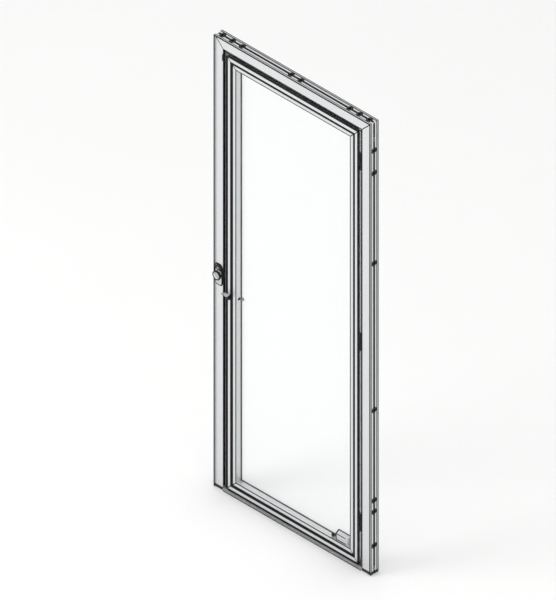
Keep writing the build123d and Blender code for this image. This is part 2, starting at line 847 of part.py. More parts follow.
rack_lean = math.tan(math.radians(pressure_angle))
rack_tip = addendum_share * pinion_module
rack_root = dedendum_share * pinion_module
rack_half = (tooth_pitch - 2 * backlash) / 4
with BuildPart() as lock_bolt:
    with BuildSketch(front_plane(lock_inset, bolt_back, rack_line)):
        tail = case_out + case_wall + slide_gap - lock_inset
        nose = bolt_tip - lock_inset
        outline((tail, rack_root), (nose, rack_root), (nose, rack_root + bolt_height),
                (tail, rack_root + bolt_height))
        for tooth in range(-rack_teeth_behind, rack_teeth_ahead + 1):
            middle = tooth * tooth_pitch
            outline((middle - rack_half - rack_root * rack_lean, rack_root),
                    (middle - rack_half + rack_tip * rack_lean, -rack_tip),
                    (middle + rack_half - rack_tip * rack_lean, -rack_tip),
                    (middle + rack_half + rack_root * rack_lean, rack_root))
    extrude(amount=bolt_depth)
    chamfer(lock_bolt.faces().sort_by(Axis.X)[-1].edges(), bolt_nose_edge)
save(lock_bolt, "lock_bolt")

# Lock: turn knob with a diagonal grip and an index mark

with BuildPart() as lock_knob:
    knob_root = left_point(lock_inset, 0, lock_height)
    neck_end = knob_back - knob_neck
    with BuildSketch(Plane(origin=knob_root, x_dir=(1, 0, 0), z_dir=(0, 0, 1))):
        outline((0, knob_back), (knob_neck_radius, knob_back), (knob_neck_radius, neck_end),
                (knob_radius - knob_edge, neck_end), (knob_radius, neck_end - knob_edge),
                (knob_radius, knob_front + knob_edge), (knob_radius - knob_edge, knob_front),
                (0, knob_front))
    revolve(axis=Axis(knob_root, (0, 1, 0)))
    with BuildSketch(front_plane(lock_inset, knob_front, lock_height)):
        SlotOverall(knob_grip_length, knob_grip_width, rotation=knob_grip_angle)
    extrude(amount=knob_grip_height)
    with BuildSketch(front_plane(lock_inset, knob_front - knob_grip_height, lock_height)):
        with PolarLocations((knob_grip_length - knob_grip_width) / 2, 1, start_angle=knob_grip_angle):
            Circle(knob_mark_radius)
    extrude(amount=-knob_mark_depth, mode=Mode.SUBTRACT)
    drill(front_plane(lock_inset, knob_back, lock_height), spindle_radius + running_gap, knob_socket)
save(lock_knob, "lock_knob")

# Lock: key cylinder with its plug, behind an arched guard

guard_front = plate_front - guard_thickness
plug_front = guard_front - plug_proud
cylinder_back = plate_front + cylinder_length
with BuildPart() as key_cylinder:
    disc(front_plane(lock_inset, cylinder_back, cylinder_height), cylinder_radius, cylinder_length)
    drill(front_plane(lock_inset, cylinder_back, cylinder_height), plug_radius + running_gap,
          cylinder_length)
save(key_cylinder, "key_cylinder")

with BuildPart() as key_plug:
    disc(front_plane(lock_inset, cylinder_back, cylinder_height), plug_radius, cylinder_back - plug_front)
    with BuildSketch(front_plane(lock_inset, plug_front, cylinder_height)):
        Rectangle(key_slot_width, key_slot_height)
    extrude(amount=-key_slot_depth, mode=Mode.SUBTRACT)
save(key_plug, "key_plug")

with BuildPart() as key_guard:
    with BuildSketch(front_plane(lock_inset, plate_front, cylinder_height)):
        Circle(guard_width / 2)
        area_between((-guard_width / 2, -guard_width / 2), (guard_width / 2, 0), Mode.SUBTRACT)
        area_between((-guard_width / 2, -guard_straight), (guard_width / 2, 0))
        Circle(plug_radius + fit_gap, mode=Mode.SUBTRACT)
    extrude(amount=guard_thickness)
save(key_guard, "key_guard")

# Leaf: strike plate that takes the bolt

strike_middle = (bolt_front + bolt_back) / 2
strike_centre = (bolt_bottom + bolt_top) / 2
with BuildPart() as strike_plate:
    block_between(left_point(leaf_edge - strike_thickness, strike_middle - strike_width / 2,
                             strike_centre - strike_height / 2),
                  left_point(leaf_edge, strike_middle + strike_width / 2,
                             strike_centre + strike_height / 2))
    bolt_window(leaf_edge - 2 * strike_thickness, leaf_edge + strike_thickness)
save(strike_plate, "strike_plate")

# Leaf: front pull that leans over the gap, rear knob and screw cap

pull_left = leaf_edge - pull_overhang


def pull_face(shares):
    """Plan outline of the pull, as shares of its width and reach."""
    outline(*(left_point(pull_left + across * pull_width, leaf_front - out * pull_reach, 0)[:2]
              for across, out in shares))


with BuildPart() as front_pull:
    with BuildSketch(Plane.XY.offset(pull_top - pull_height)):
        pull_face(pull_foot_shares)
    with BuildSketch(Plane.XY.offset(pull_top)):
        pull_face(pull_top_shares)
    loft(ruled=True)
save(front_pull, "front_pull")

with BuildPart() as rear_knob:
    rear_root = left_point(rear_knob_inset, face_back, rear_knob_height)
    with BuildSketch(Plane(origin=rear_root, x_dir=(1, 0, 0), z_dir=(0, 0, 1))):
        outline((0, 0), (rear_knob_neck_radius, 0), (rear_knob_neck_radius, rear_knob_neck),
                (rear_knob_radius, rear_knob_neck + rear_knob_edge),
                (rear_knob_radius, rear_knob_length - rear_knob_edge),
                (rear_knob_radius - rear_knob_edge, rear_knob_length), (0, rear_knob_length))
    revolve(axis=Axis(rear_root, (0, 1, 0)))
save(rear_knob, "rear_knob")

with BuildPart() as screw_cap:
    disc(Plane(origin=left_point(daylight, cap_depth, cap_height), z_dir=(1, 0, 0)), cap_radius, cap_proud)
    chamfer(screw_cap.faces().sort_by(Axis.X)[-1].edges(), cap_edge)
save(screw_cap, "screw_cap")

# Frame: catch clip on the left jamb's inner edge

with BuildPart() as catch_clip:
    clip_low = frame_height - clip_drop - clip_height
    block_between(left_point(face_width - clip_grip, lip - clip_thickness, clip_low),
                  left_point(face_width, lip, clip_low + clip_height))
    block_between(left_point(face_width, lip - clip_proud, clip_low),
                  left_point(face_width + clip_reach, lip, clip_low + clip_height))
save(catch_clip, "catch_clip")

# Leaf: housing on the bottom bead, with its adjuster

bead_top = leaf_base + daylight
adjuster_depth = housing_front + adjuster_radius
adjuster_height = bead_top + adjuster_radius + brush_gap
housing_left = housing_right + housing_length
with BuildPart() as adjuster_housing:
    plane = Plane(origin=right_point(housing_left, 0, bead_top), x_dir=(0, 1, 0), z_dir=(1, 0, 0))
    with BuildSketch(plane):
        outline((housing_front, 0), (bead_back, 0), (bead_back, housing_front_height + housing_rise),
                (housing_front, housing_front_height))
    extrude(amount=housing_length)
    end_edges = adjuster_housing.edges().filter_by(Axis.Z).group_by(Axis.X)[-1]
    fillet(end_edges.sort_by(Axis.Y)[0], housing_round)
    disc(Plane(origin=right_point(housing_left, adjuster_depth, adjuster_height), z_dir=(1, 0, 0)),
         adjuster_stem_radius + running_gap, adjuster_stem_socket, Mode.SUBTRACT)
save(adjuster_housing, "adjuster_housing")

with BuildPart() as adjuster_knob:
    stem_end = right_point(housing_left - adjuster_stem_socket, adjuster_depth, adjuster_height)
    reach = adjuster_stem_socket + adjuster_gap
    total = reach + adjuster_length
    with BuildSketch(Plane(origin=stem_end, x_dir=(0, 0, 1), z_dir=(0, 1, 0))):
        outline((0, 0), (adjuster_stem_radius, 0), (adjuster_stem_radius, -reach),
                (adjuster_radius - adjuster_edge, -reach), (adjuster_radius, -reach - adjuster_edge),
                (adjuster_radius, adjuster_edge - total), (adjuster_radius - adjuster_edge, -total),
                (0, -total))
    revolve(axis=Axis(stem_end, (1, 0, 0)))
save(adjuster_knob, "adjuster_knob")
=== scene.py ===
"""Looks of the framed glass door: finishes, small fittings, light and camera.

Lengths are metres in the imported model's own frame: X along the width, Y from front to back, Z up.
"""

from __future__ import annotations

import json
import logging
import math
from dataclasses import dataclass, field
from enum import Enum
from typing import Any, Sequence

import bmesh
import bpy
import numpy as np
from mathutils import Matrix, Vector

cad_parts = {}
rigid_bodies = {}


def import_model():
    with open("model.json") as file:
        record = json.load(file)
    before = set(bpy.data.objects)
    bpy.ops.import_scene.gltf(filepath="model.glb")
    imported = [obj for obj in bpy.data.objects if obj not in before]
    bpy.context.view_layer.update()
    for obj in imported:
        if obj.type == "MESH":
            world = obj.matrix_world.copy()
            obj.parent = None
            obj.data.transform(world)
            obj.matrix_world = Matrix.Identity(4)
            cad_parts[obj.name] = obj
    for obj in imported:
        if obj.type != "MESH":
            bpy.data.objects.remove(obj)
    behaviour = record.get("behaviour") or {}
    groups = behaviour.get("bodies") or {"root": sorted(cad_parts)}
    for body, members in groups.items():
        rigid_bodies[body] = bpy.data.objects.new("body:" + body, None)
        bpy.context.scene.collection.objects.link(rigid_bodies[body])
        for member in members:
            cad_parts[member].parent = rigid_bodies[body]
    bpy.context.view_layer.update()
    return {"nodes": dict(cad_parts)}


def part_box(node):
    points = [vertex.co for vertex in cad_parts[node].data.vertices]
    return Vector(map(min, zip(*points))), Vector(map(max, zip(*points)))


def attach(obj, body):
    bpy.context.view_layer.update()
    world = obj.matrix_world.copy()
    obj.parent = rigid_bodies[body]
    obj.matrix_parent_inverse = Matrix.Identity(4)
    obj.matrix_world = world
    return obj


LOG = logging.getLogger("door")
SUNK = 0.0004  # how far a thin strip reaches into what carries it
BROKEN = 0.0003  # width of a thin line's broken edges
SHORTEST = 0.004  # shortest strip that is worth fitting between two holes
Point = Sequence[float]
Section = Sequence[tuple[float, float]]


class Slot(Enum):
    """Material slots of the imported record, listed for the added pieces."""

    STEEL = "steel"
    RUBBER = "rubber"
    BLACK = "black_plastic"
    PALE = "pale_plastic"


class Grain(Enum):
    """Run of a metal's drawn or brushed lines, as cells per metre along X, Y and Z."""

    WIDTH = (5.0, 520.0, 520.0)
    HEIGHT = (520.0, 520.0, 5.0)
    CROSS = (60.0, 900.0, 900.0)
    EVEN = (240.0, 240.0, 240.0)


class Facing(Enum):
    """Direction that a small fitting's head looks, as the axis it stands along."""

    FRONT = (0.0, -1.0, 0.0)
    LEFT = (-1.0, 0.0, 0.0)
    RIGHT = (1.0, 0.0, 0.0)
    UP = (0.0, 0.0, 1.0)

    def turn(self) -> np.ndarray:
        """Matrix of the shortest rotation that takes +Z to this direction."""
        quaternion = Vector((0.0, 0.0, 1.0)).rotation_difference(Vector(self.value))
        return np.array(quaternion.to_matrix(), dtype=float)


# Shader maths


class Wire:
    """Output socket of a shader tree; its operators add Math nodes."""

    def __init__(self, shader: Shader, socket: bpy.types.NodeSocket) -> None:
        """Keep the socket and the shader it belongs to."""
        self.shader = shader
        self.socket = socket

    def _apply(self, operation: str, *operands: Any) -> Wire:
        """Result of a Math node on the operands."""
        node = self.shader.node("ShaderNodeMath", {"operation": operation}, dict(enumerate(operands)))
        return Wire(self.shader, node.outputs[0])

    def __add__(self, other: Any) -> Wire:
        """Sum with another value."""
        return self._apply("ADD", self, other)

    def __sub__(self, other: Any) -> Wire:
        """This value less another."""
        return self._apply("SUBTRACT", self, other)

    def __rsub__(self, other: Any) -> Wire:
        """Another value less this one."""
        return self._apply("SUBTRACT", other, self)

    def __mul__(self, other: Any) -> Wire:
        """Product with another value."""
        return self._apply("MULTIPLY", self, other)

    def __truediv__(self, other: Any) -> Wire:
        """This value divided by another."""
        return self._apply("DIVIDE", self, other)

    def __rtruediv__(self, other: Any) -> Wire:
        """Another value divided by this one."""
        return self._apply("DIVIDE", other, self)

    __radd__ = __add__
    __rmul__ = __mul__

    def clamp(self) -> Wire:
        """The value limited to the range from 0 to 1."""
        return self._apply("MINIMUM", self._apply("MAXIMUM", self, 0.0), 1.0)

    def near(self, centre: float, width: float) -> Wire:
        """Bump of 1 over 1 plus four times the square of the distance from a centre, in widths."""
        offset = (self - centre) / width
        return 1.0 / (offset * offset * 4.0 + 1.0)


class Shader:
    """Node tree of one material, built with one generic node method."""

    def __init__(self, name: str) -> None:
        """Make a material with a main shader and Object coordinates.

        Args:
            name: Material name.
        """
        self.material = bpy.data.materials.new(name)
        self.material.use_nodes = True
        self.tree = self.material.node_tree
        self.tree.nodes.clear()
        self.principled = self.node("ShaderNodeBsdfPrincipled")
        output = self.node("ShaderNodeOutputMaterial")
        self.tree.links.new(self.principled.outputs[0], output.inputs["Surface"])
        self.point = Wire(self, self.node("ShaderNodeTexCoord").outputs["Object"])

    def node(
        self, kind: str, settings: dict[str, Any] | None = None, inputs: dict[Any, Any] | None = None
    ) -> bpy.types.Node:
        """Add a node, set its properties and fill its inputs.

        Args:
            kind: Blender's node type.
            settings: Properties of the node itself.
            inputs: Values or wires by input name or number.

        Returns:
            The new node.
        """
        made = self.tree.nodes.new(kind)
        for key, value in (settings or {}).items():
            setattr(made, key, value)
        for key, value in (inputs or {}).items():
            self._fill(made.inputs[key], value)
        return made

    def _fill(self, socket: bpy.types.NodeSocket, value: Any) -> None:
        """Link a wire to an input, or set a constant on it.

        Args:
            socket: Input to fill.
            value: Wire or constant.
        """
        if isinstance(value, Wire):
            self.tree.links.new(value.socket, socket)
        else:
            socket.default_value = value

    def place(self, stretch: Point) -> Wire:
        """Object coordinates multiplied by a factor along each axis."""
        inputs = {0: self.point, 1: tuple(stretch)}
        return Wire(self, self.node("ShaderNodeVectorMath", {"operation": "MULTIPLY"}, inputs).outputs[0])

    def axis(self, name: str) -> Wire:
        """The X, Y or Z of the object coordinates in metres."""
        return Wire(self, self.node("ShaderNodeSeparateXYZ", None, {0: self.point}).outputs[name])

    def noise(self, stretch: Point, detail: float, roughness: float) -> Wire:
        """Fractal noise around one half: octaves that double in pitch and lose strength.

        Args:
            stretch: Cells per metre along each axis.
            detail: Number of octaves.
            roughness: Strength of each octave as a share of the one before.

        Returns:
            The noise from 0 to 1.
        """
        inputs = {"Vector": self.place(stretch), "Scale": 1.0, "Detail": detail, "Roughness": roughness}
        return Wire(self, self.node("ShaderNodeTexNoise", None, inputs).outputs[0])

    def cells(self, stretch: Point) -> Wire:
        """Distance to the nearest of scattered points, so many per metre along each axis."""
        inputs = {"Vector": self.place(stretch), "Scale": 1.0}
        return Wire(self, self.node("ShaderNodeTexVoronoi", None, inputs).outputs["Distance"])

    def tint(self, factor: Wire, low: Point, high: Point) -> Wire:
        """Colour that goes from low to high as the factor goes from 0 to 1."""
        inputs = {0: factor, 6: (*low, 1.0), 7: (*high, 1.0)}
        return Wire(self, self.node("ShaderNodeMix", {"data_type": "RGBA"}, inputs).outputs[2])

    def relief(self, height: Wire, distance: float, strength: float) -> None:
        """Bump the surface by a height map.

        Args:
            height: Height from 0 to 1.
            distance: Real height in metres that 1 stands for.
            strength: Share of the effect.
        """
        inputs = {"Height": height, "Distance": distance, "Strength": strength}
        node = self.node("ShaderNodeBump", None, inputs)
        self.tree.links.new(node.outputs[0], self.principled.inputs["Normal"])

    def set(self, **values: Any) -> None:
        """Fill inputs of the main shader by name, with underscores for spaces."""
        for key, value in values.items():
            self._fill(self.principled.inputs[key.replace("_", " ")], value)


# Finishes


def shaded(colour: Point, factor: float) -> tuple[float, ...]:
    """A colour with each channel multiplied by a factor, 1 at most."""
    return tuple(min(1.0, channel * factor) for channel in colour)


@dataclass(frozen=True)
class Finish:
    """Base of all finishes: a name and a main colour."""

    name: str
    colour: tuple[float, float, float]

    def build(self) -> bpy.types.Material:
        """Make the material.

        Returns:
            The finished material.
        """
        shader = Shader(self.name)
        self.paint(shader)
        return shader.material

    def paint(self, shader: Shader) -> None:
        """Fill the shader, in each finish's own way."""
        raise NotImplementedError


@dataclass(frozen=True)
class Metal(Finish):
    """Drawn, brushed or turned metal with lines along its grain."""

    grain: Grain = Grain.EVEN
    roughness: float = 0.34
    contrast: float = 0.05
    relief_depth: float = 0.00002
    handled_height: float = 1.10
    handled_span: float = 0.35
    dust_fade: float = 9.0
    cloud_cells: Point = (7.0, 7.0, 3.0)
    mark_cells: Point = (38.0, 38.0, 26.0)
    dust_cells: Point = (45.0, 45.0, 60.0)

    def paint(self, shader: Shader) -> None:
        """Weighted sum of drawn lines, clouds, finger marks at hand height and dust near the floor.

        Args:
            shader: Shader to fill.
        """
        lines = shader.noise(self.grain.value, 4.0, 0.6)
        clouds = shader.noise(self.cloud_cells, 3.0, 0.5)
        marks = shader.noise(self.mark_cells, 5.0, 0.65)
        height = shader.axis("Z")
        handled = height.near(self.handled_height, self.handled_span) * ((marks - 0.52) * 6.0).clamp()
        dusty = (1.0 - height * self.dust_fade).clamp() * shader.noise(self.dust_cells, 4.0, 0.6)
        tone = (lines * 0.6 + clouds * 0.4 - handled * 0.25 - dusty * 0.45).clamp()
        low = shaded(self.colour, 1.0 - self.contrast * 2.2)
        high = shaded(self.colour, 1.0 + self.contrast)
        rough = lines * 0.10 + clouds * 0.06 + handled * 0.10 + dusty * 0.18 + (self.roughness - 0.08)
        shader.set(Base_Color=shader.tint(tone, low, high), Roughness=rough, Metallic=1.0)
        shader.relief(lines, self.relief_depth, 0.6)


@dataclass(frozen=True)
class Coated(Metal):
    """Anodised metal, whose oxide layer is duller and paler than the bare metal."""

    metallic: float = 0.72
    coat_roughness: float = 0.35
    coat_cells: Point = (90.0, 90.0, 30.0)

    def paint(self, shader: Shader) -> None:
        """Metal under a thin satin layer whose weight is noise about a small mean.

        Args:
            shader: Shader to fill.
        """
        super().paint(shader)
        weight = shader.noise(self.coat_cells, 2.0, 0.5) * 0.12 + 0.05
        shader.set(Metallic=self.metallic, Coat_Roughness=self.coat_roughness, Coat_Weight=weight)


@dataclass(frozen=True)
class Rubber(Finish):
    """Matt synthetic rubber with a faint bloom and moulding speckle."""

    gloss: float = 0.14
    speckle_cells: Point = (900.0, 900.0, 900.0)
    bloom_cells: Point = (24.0, 24.0, 9.0)
    speckle_depth: float = 0.00006

    def paint(self, shader: Shader) -> None:
        """Tone from seven parts of bloom to three of speckle, with the speckle as relief.

        Args:
            shader: Shader to fill.
        """
        speckle = shader.noise(self.speckle_cells, 3.0, 0.6)
        bloom = shader.noise(self.bloom_cells, 4.0, 0.6)
        tone = ((bloom - 0.45) * 2.2).clamp() * 0.7 + speckle * 0.3
        shader.set(
            Base_Color=shader.tint(tone, shaded(self.colour, 0.55), shaded(self.colour, 1.7)),
            Roughness=speckle * 0.18 + bloom * 0.14 + 0.52,
            Specular_IOR_Level=self.gloss,
        )
        shader.relief(speckle, self.speckle_depth, 0.5)


@dataclass(frozen=True)
class Moulded(Finish):
    """Injection-moulded plastic or powder coat with a fine pitted grain."""

    roughness: float = 0.5
    gloss: float = 0.5
    pit_cells: Point = (1400.0, 1400.0, 1400.0)
    flow_cells: Point = (30.0, 30.0, 14.0)
    rub_cells: Point = (70.0, 70.0, 70.0)
    pit_depth: float = 0.00005

    def paint(self, shader: Shader) -> None:
        """Weighted sum of scattered pits and flow marks, smoother where it is rubbed.

        Args:
            shader: Shader to fill.
        """
        pits = shader.cells(self.pit_cells)
        flow = shader.noise(self.flow_cells, 4.0, 0.55)
        rubbed = ((shader.noise(self.rub_cells, 4.0, 0.6) - 0.5) * 3.0).clamp()
        tone = (flow * 0.7 + pits * 0.35).clamp()
        shader.set(
            Base_Color=shader.tint(tone, shaded(self.colour, 0.88), shaded(self.colour, 1.14)),
            Roughness=pits * 0.12 + flow * 0.10 - rubbed * 0.10 + (self.roughness - 0.08),
            Specular_IOR_Level=self.gloss,
        )
        shader.relief(pits, self.pit_depth, 0.55)


@dataclass(frozen=True)
class Pile(Finish):
    """Dense brush pile, streaked along its hairs."""

    hair_cells: Point = (2600.0, 2600.0, 40.0)
    clump_cells: Point = (220.0, 220.0, 18.0)
    hair_depth: float = 0.0003

    def paint(self, shader: Shader) -> None:
        """Weighted sum of hairs that run downwards and their clumps.

        Args:
            shader: Shader to fill.
        """
        hairs = shader.noise(self.hair_cells, 3.0, 0.6)
        tone = (hairs * 0.6 + shader.noise(self.clump_cells, 3.0, 0.5) * 0.4).clamp()
        shader.set(
            Base_Color=shader.tint(tone, shaded(self.colour, 0.5), shaded(self.colour, 1.8)),
            Roughness=hairs * 0.2 + 0.68,
        )
        shader.relief(hairs, self.hair_depth, 0.8)


@dataclass(frozen=True)
class Pane(Finish):
    """Clear glass that shows by its reflections and faint wiping marks."""

    clear: float = 0.015
    refraction: float = 1.52
    streak_cells: Point = (3.0, 3.0, 1.1)

    def paint(self, shader: Shader) -> None:
        """Opacity as the sum of a small constant, wiped streaks and a share that grows at grazing angles.

        Args:
            shader: Shader to fill.
        """
        streaks = shader.noise(self.streak_cells, 5.0, 0.6)
        grazing = Wire(shader, shader.node("ShaderNodeLayerWeight", None, {"Blend": 0.35}).outputs["Fresnel"])
        haze = ((streaks - 0.5) * 3.0).clamp() * 0.02
        shader.set(
            Base_Color=shader.tint(streaks, shaded(self.colour, 0.96), self.colour),
            Roughness=streaks * 0.03 + 0.015,
            Alpha=(grazing * 0.22 + haze + self.clear).clamp(),
            IOR=self.refraction,
        )


@dataclass(frozen=True)
class Ground(Finish):
    """Plain pale studio floor."""

    mottle_cells: Point = (2.0, 2.0, 2.0)

    def paint(self, shader: Shader) -> None:
        """Almost even tone with a soft mottling.

        Args:
            shader: Shader to fill.
        """
        mottle = shader.noise(self.mottle_cells, 4.0, 0.5)
        shader.set(
            Base_Color=shader.tint(mottle, shaded(self.colour, 0.985), self.colour),
            Roughness=mottle * 0.08 + 0.72,
        )


class Palette:
    """All finishes of the door, made once and shared."""

    def __init__(self) -> None:
        """Make the materials."""
        silver = (0.70, 0.71, 0.72)
        self.width_bar = Coated("anodised_width", silver, Grain.WIDTH, 0.40).build()
        self.height_bar = Coated("anodised_height", silver, Grain.HEIGHT, 0.40).build()
        self.alloy = Metal("mill_alloy", (0.48, 0.49, 0.50), Grain.EVEN, 0.5).build()
        self.steel = Metal("brushed_steel", (0.42, 0.43, 0.44), Grain.CROSS, 0.30, 0.08).build()
        self.fitting = Metal("turned_steel", (0.58, 0.59, 0.60), Grain.EVEN, 0.26, 0.06).build()
        self.brass = Metal("machined_brass", (0.74, 0.58, 0.30), Grain.EVEN, 0.28, 0.08).build()
        self.rubber = Rubber("black_rubber", (0.010, 0.010, 0.011)).build()
        self.pile = Pile("brush_pile", (0.022, 0.022, 0.024)).build()
        self.black = Moulded("black_plastic", (0.014, 0.014, 0.015), 0.46, 0.32).build()
        self.pale = Moulded("pale_plastic", (0.52, 0.53, 0.54), 0.44).build()
        self.powder = Moulded("black_powder_coat", (0.016, 0.016, 0.017), 0.55, 0.35).build()
        # pale colour that paints a lit band into the shaded gap on the hinge side
        self.gap_painted_light = Moulded("pale_painted_light", (0.82, 0.825, 0.83), 0.5).build()
        self.seal = Rubber("grey_glazing_seal", (0.26, 0.263, 0.268)).build()
        self.glass = Pane("clear_glass", (0.90, 0.95, 0.94)).build()
        self.ground = Ground("studio_floor", (0.93, 0.93, 0.925)).build()


# Meshes


@dataclass
class Surface:
    """Vertices and faces of one piece, as arrays."""

    points: np.ndarray
    faces: list[list[int]]

    def moved(self, turn: np.ndarray, place: Point) -> Surface:
        """Copy turned about the origin by a rotation matrix and then moved to a place."""
        return Surface(self.points @ turn.T + np.asarray(place, float), self.faces)

    @staticmethod
    def joined(parts: Sequence[Surface]) -> Surface:
        """Several surfaces as one: each part's corner numbers go up by the points before it.

        Args:
            parts: Surfaces to join.

        Returns:
            The joined surface.
        """
        starts = np.cumsum([0] + [len(part.points) for part in parts[:-1]]).tolist()
        pairs = zip(parts, starts)
        faces = [[index + start for index in face] for part, start in pairs for face in part.faces]
        return Surface(np.concatenate([part.points for part in parts]), faces)


def full_turn(steps: int) -> np.ndarray:
    """Angles of equal steps over a whole turn."""
    return np.linspace(0.0, 2.0 * math.pi, steps, endpoint=False)


def tube(rings: np.ndarray, capped: bool = True) -> Surface:
    """Skin over a row of equal rings: a quad from each step of a ring to the next ring, and flat end caps.

    Args:
        rings: Points by ring, by place in the ring and by axis.
        capped: False where the last ring meets the first.

    Returns:
        The surface.
    """
    rows, count = rings.shape[:2]
    row, column = np.meshgrid(np.arange(rows - 1) * count, np.arange(count), indexing="ij")
    after = (column + 1) % count
    quads = np.stack([row + column, row + after, row + count + after, row + count + column], axis=-1)
    faces = quads.reshape(-1, 4).tolist()
    if capped:
        last = (rows - 1) * count
        faces += [list(range(count))[::-1], list(range(last, last + count))]
    return Surface(rings.reshape(-1, 3), faces)


def turned(
    profile: Section, segments: int, shapes: Sequence[np.ndarray | float] = (1.0,), capped: bool = True
) -> Surface:
    """Form turned about Z: X and Y are radius times factor times cosine and sine, Z is the ring's height.

    Args:
        profile: Radius and height of each ring.
        segments: Points in a ring.
        shapes: Factor on each ring's radius, one number or one per segment.
        capped: False where the profile closes on itself.

    Returns:
        The surface.
    """
    angle = full_turn(segments)
    rings = np.asarray(profile, float)
    radius = rings[:, :1] * np.stack([np.broadcast_to(shape, segments) for shape in shapes])
    level = np.broadcast_to(rings[:, 1:], radius.shape)
    return tube(np.stack([radius * np.cos(angle), radius * np.sin(angle), level], axis=-1), capped)


def hexagon(segments: int) -> np.ndarray:
    """Radius of a hexagon over a turn: 1 over the cosine of the angle from the nearest flat's middle.

    Args:
        segments: Points in the turn.

    Returns:
        One factor on the half width across flats per segment.
    """
    sector = math.pi / 3.0
    return 1.0 / np.cos((full_turn(segments) + sector / 2.0) % sector - sector / 2.0)


def swept(profile: Section, low: Point, high: Point, closed: bool) -> Surface:
    """Strip of one section along a rectangle's sides; at a corner it moves by its offset along both sides.

    Args:
        profile: Closed section as offset outwards from the rectangle and depth along Y.
        low: Lowest X and Z of the rectangle.
        high: Highest X and Z of the rectangle.
        closed: True for all four sides, False for left side, top and right side.

    Returns:
        The strip.
    """
    out, depth = np.asarray(profile, float).T
    left, right, upper = low[0] - out, high[0] + out, high[1] + out
    lower = low[1] - out if closed else np.full_like(out, low[1])
    corners = [(left, lower), (left, upper), (right, upper), (right, lower)]
    if closed:
        corners.append(corners[0])
    return tube(np.stack([np.stack([x, depth, z], axis=-1) for x, z in corners]), not closed)


def flat_line(outer: float, inner: float, front: float, proud: float = 0.0004) -> list[tuple[float, float]]:
    """Section of a slim flat line on a front face: a thin plate with broken edges.

    Args:
        outer: Inset of its outer edge from the rectangle.
        inner: Inset of its inner edge.
        front: Y of the face that it lies on.
        proud: Height over the face.

    Returns:
        Offset outwards and Y of each corner.
    """
    return [
        (-outer, front + SUNK),
        (-outer, front - proud / 2.0),
        (-outer - BROKEN, front - proud),
        (BROKEN - inner, front - proud),
        (-inner, front - proud / 2.0),
        (-inner, front + SUNK),
    ]


def seam(path: Section, corner: Point, inwards: Point, width: float, lift: float = 0.00014) -> Surface:
    """Flat bead along a mitre: the joint's line moved along its normal and sideways by shares of the width.

    Args:
        path: Inset and Y of the joint's line over the section, with the outside on its right hand.
        corner: X and Z of the corner that insets start from.
        inwards: Signs of X and Z that lead inwards from the corner.
        width: Width of the bead.
        lift: Height of the bead over the surface.

    Returns:
        The bead.
    """
    line = np.asarray(path, float)
    step = np.gradient(line, axis=0)
    normal = np.stack([step[:, 1], -step[:, 0]], axis=-1)
    normal /= np.linalg.norm(normal, axis=1, keepdims=True)
    heights = np.array([-1.0, 0.4, 1.0, 1.0, 0.4, -1.0])[None, :, None] * lift
    shares = np.array([-1.0, -1.0, -0.5, 0.5, 1.0, 1.0])[None, :, None]
    inset, depth = np.moveaxis(line[:, None] + normal[:, None] * heights, -1, 0)
    across = np.array([inwards[0], 0.0, -inwards[1]]) / math.sqrt(2.0) * width / 2.0
    middle = np.stack([corner[0] + inwards[0] * inset, depth, corner[1] + inwards[1] * inset], axis=-1)
    return tube(middle + across * shares)


def soft_block(low: Point, high: Point, edge: float) -> Surface:
    """Block with chamfered edges: four eight-cornered rings, the end ones drawn in by the chamfer.

    Args:
        low: Lowest corner.
        high: Highest corner.
        edge: Chamfer width.

    Returns:
        The block.
    """
    centre = (np.asarray(low, float) + np.asarray(high, float)) / 2.0
    half = (np.asarray(high, float) - np.asarray(low, float)) / 2.0
    across = np.array([1, 1, 1, -1, -1, -1, -1, 1], float)
    along = np.array([-1, 1, 1, 1, 1, -1, -1, -1], float)
    cut = np.array([0, 0, 1, 1, 0, 0, 1, 1], float) * edge
    drawn = np.array([edge, 0.0, 0.0, edge])[:, None]
    level = np.array([-half[2], edge - half[2], half[2] - edge, half[2]])[:, None]
    x, y = across * (half[0] - drawn - cut), along * (half[1] - drawn - (edge - cut))
    return tube(np.stack([x, y, np.broadcast_to(level, x.shape)], axis=-1) + centre)


def free_lengths(holes: Section, start: float, stop: float) -> list[tuple[float, float]]:
    """Lengths of a line that holes leave free, from each hole's far side to the next hole's near side.

    Args:
        holes: Place and clear radius of each hole.
        start: Lower end of the line.
        stop: Upper end of the line.

    Returns:
        Both ends of each free length.
    """
    lengths = []
    for place, radius in sorted(holes):
        lengths.append((start, place - radius))
        start = place + radius
    lengths.append((start, stop))
    return [(a, b) for a, b in lengths if b - a > SHORTEST]


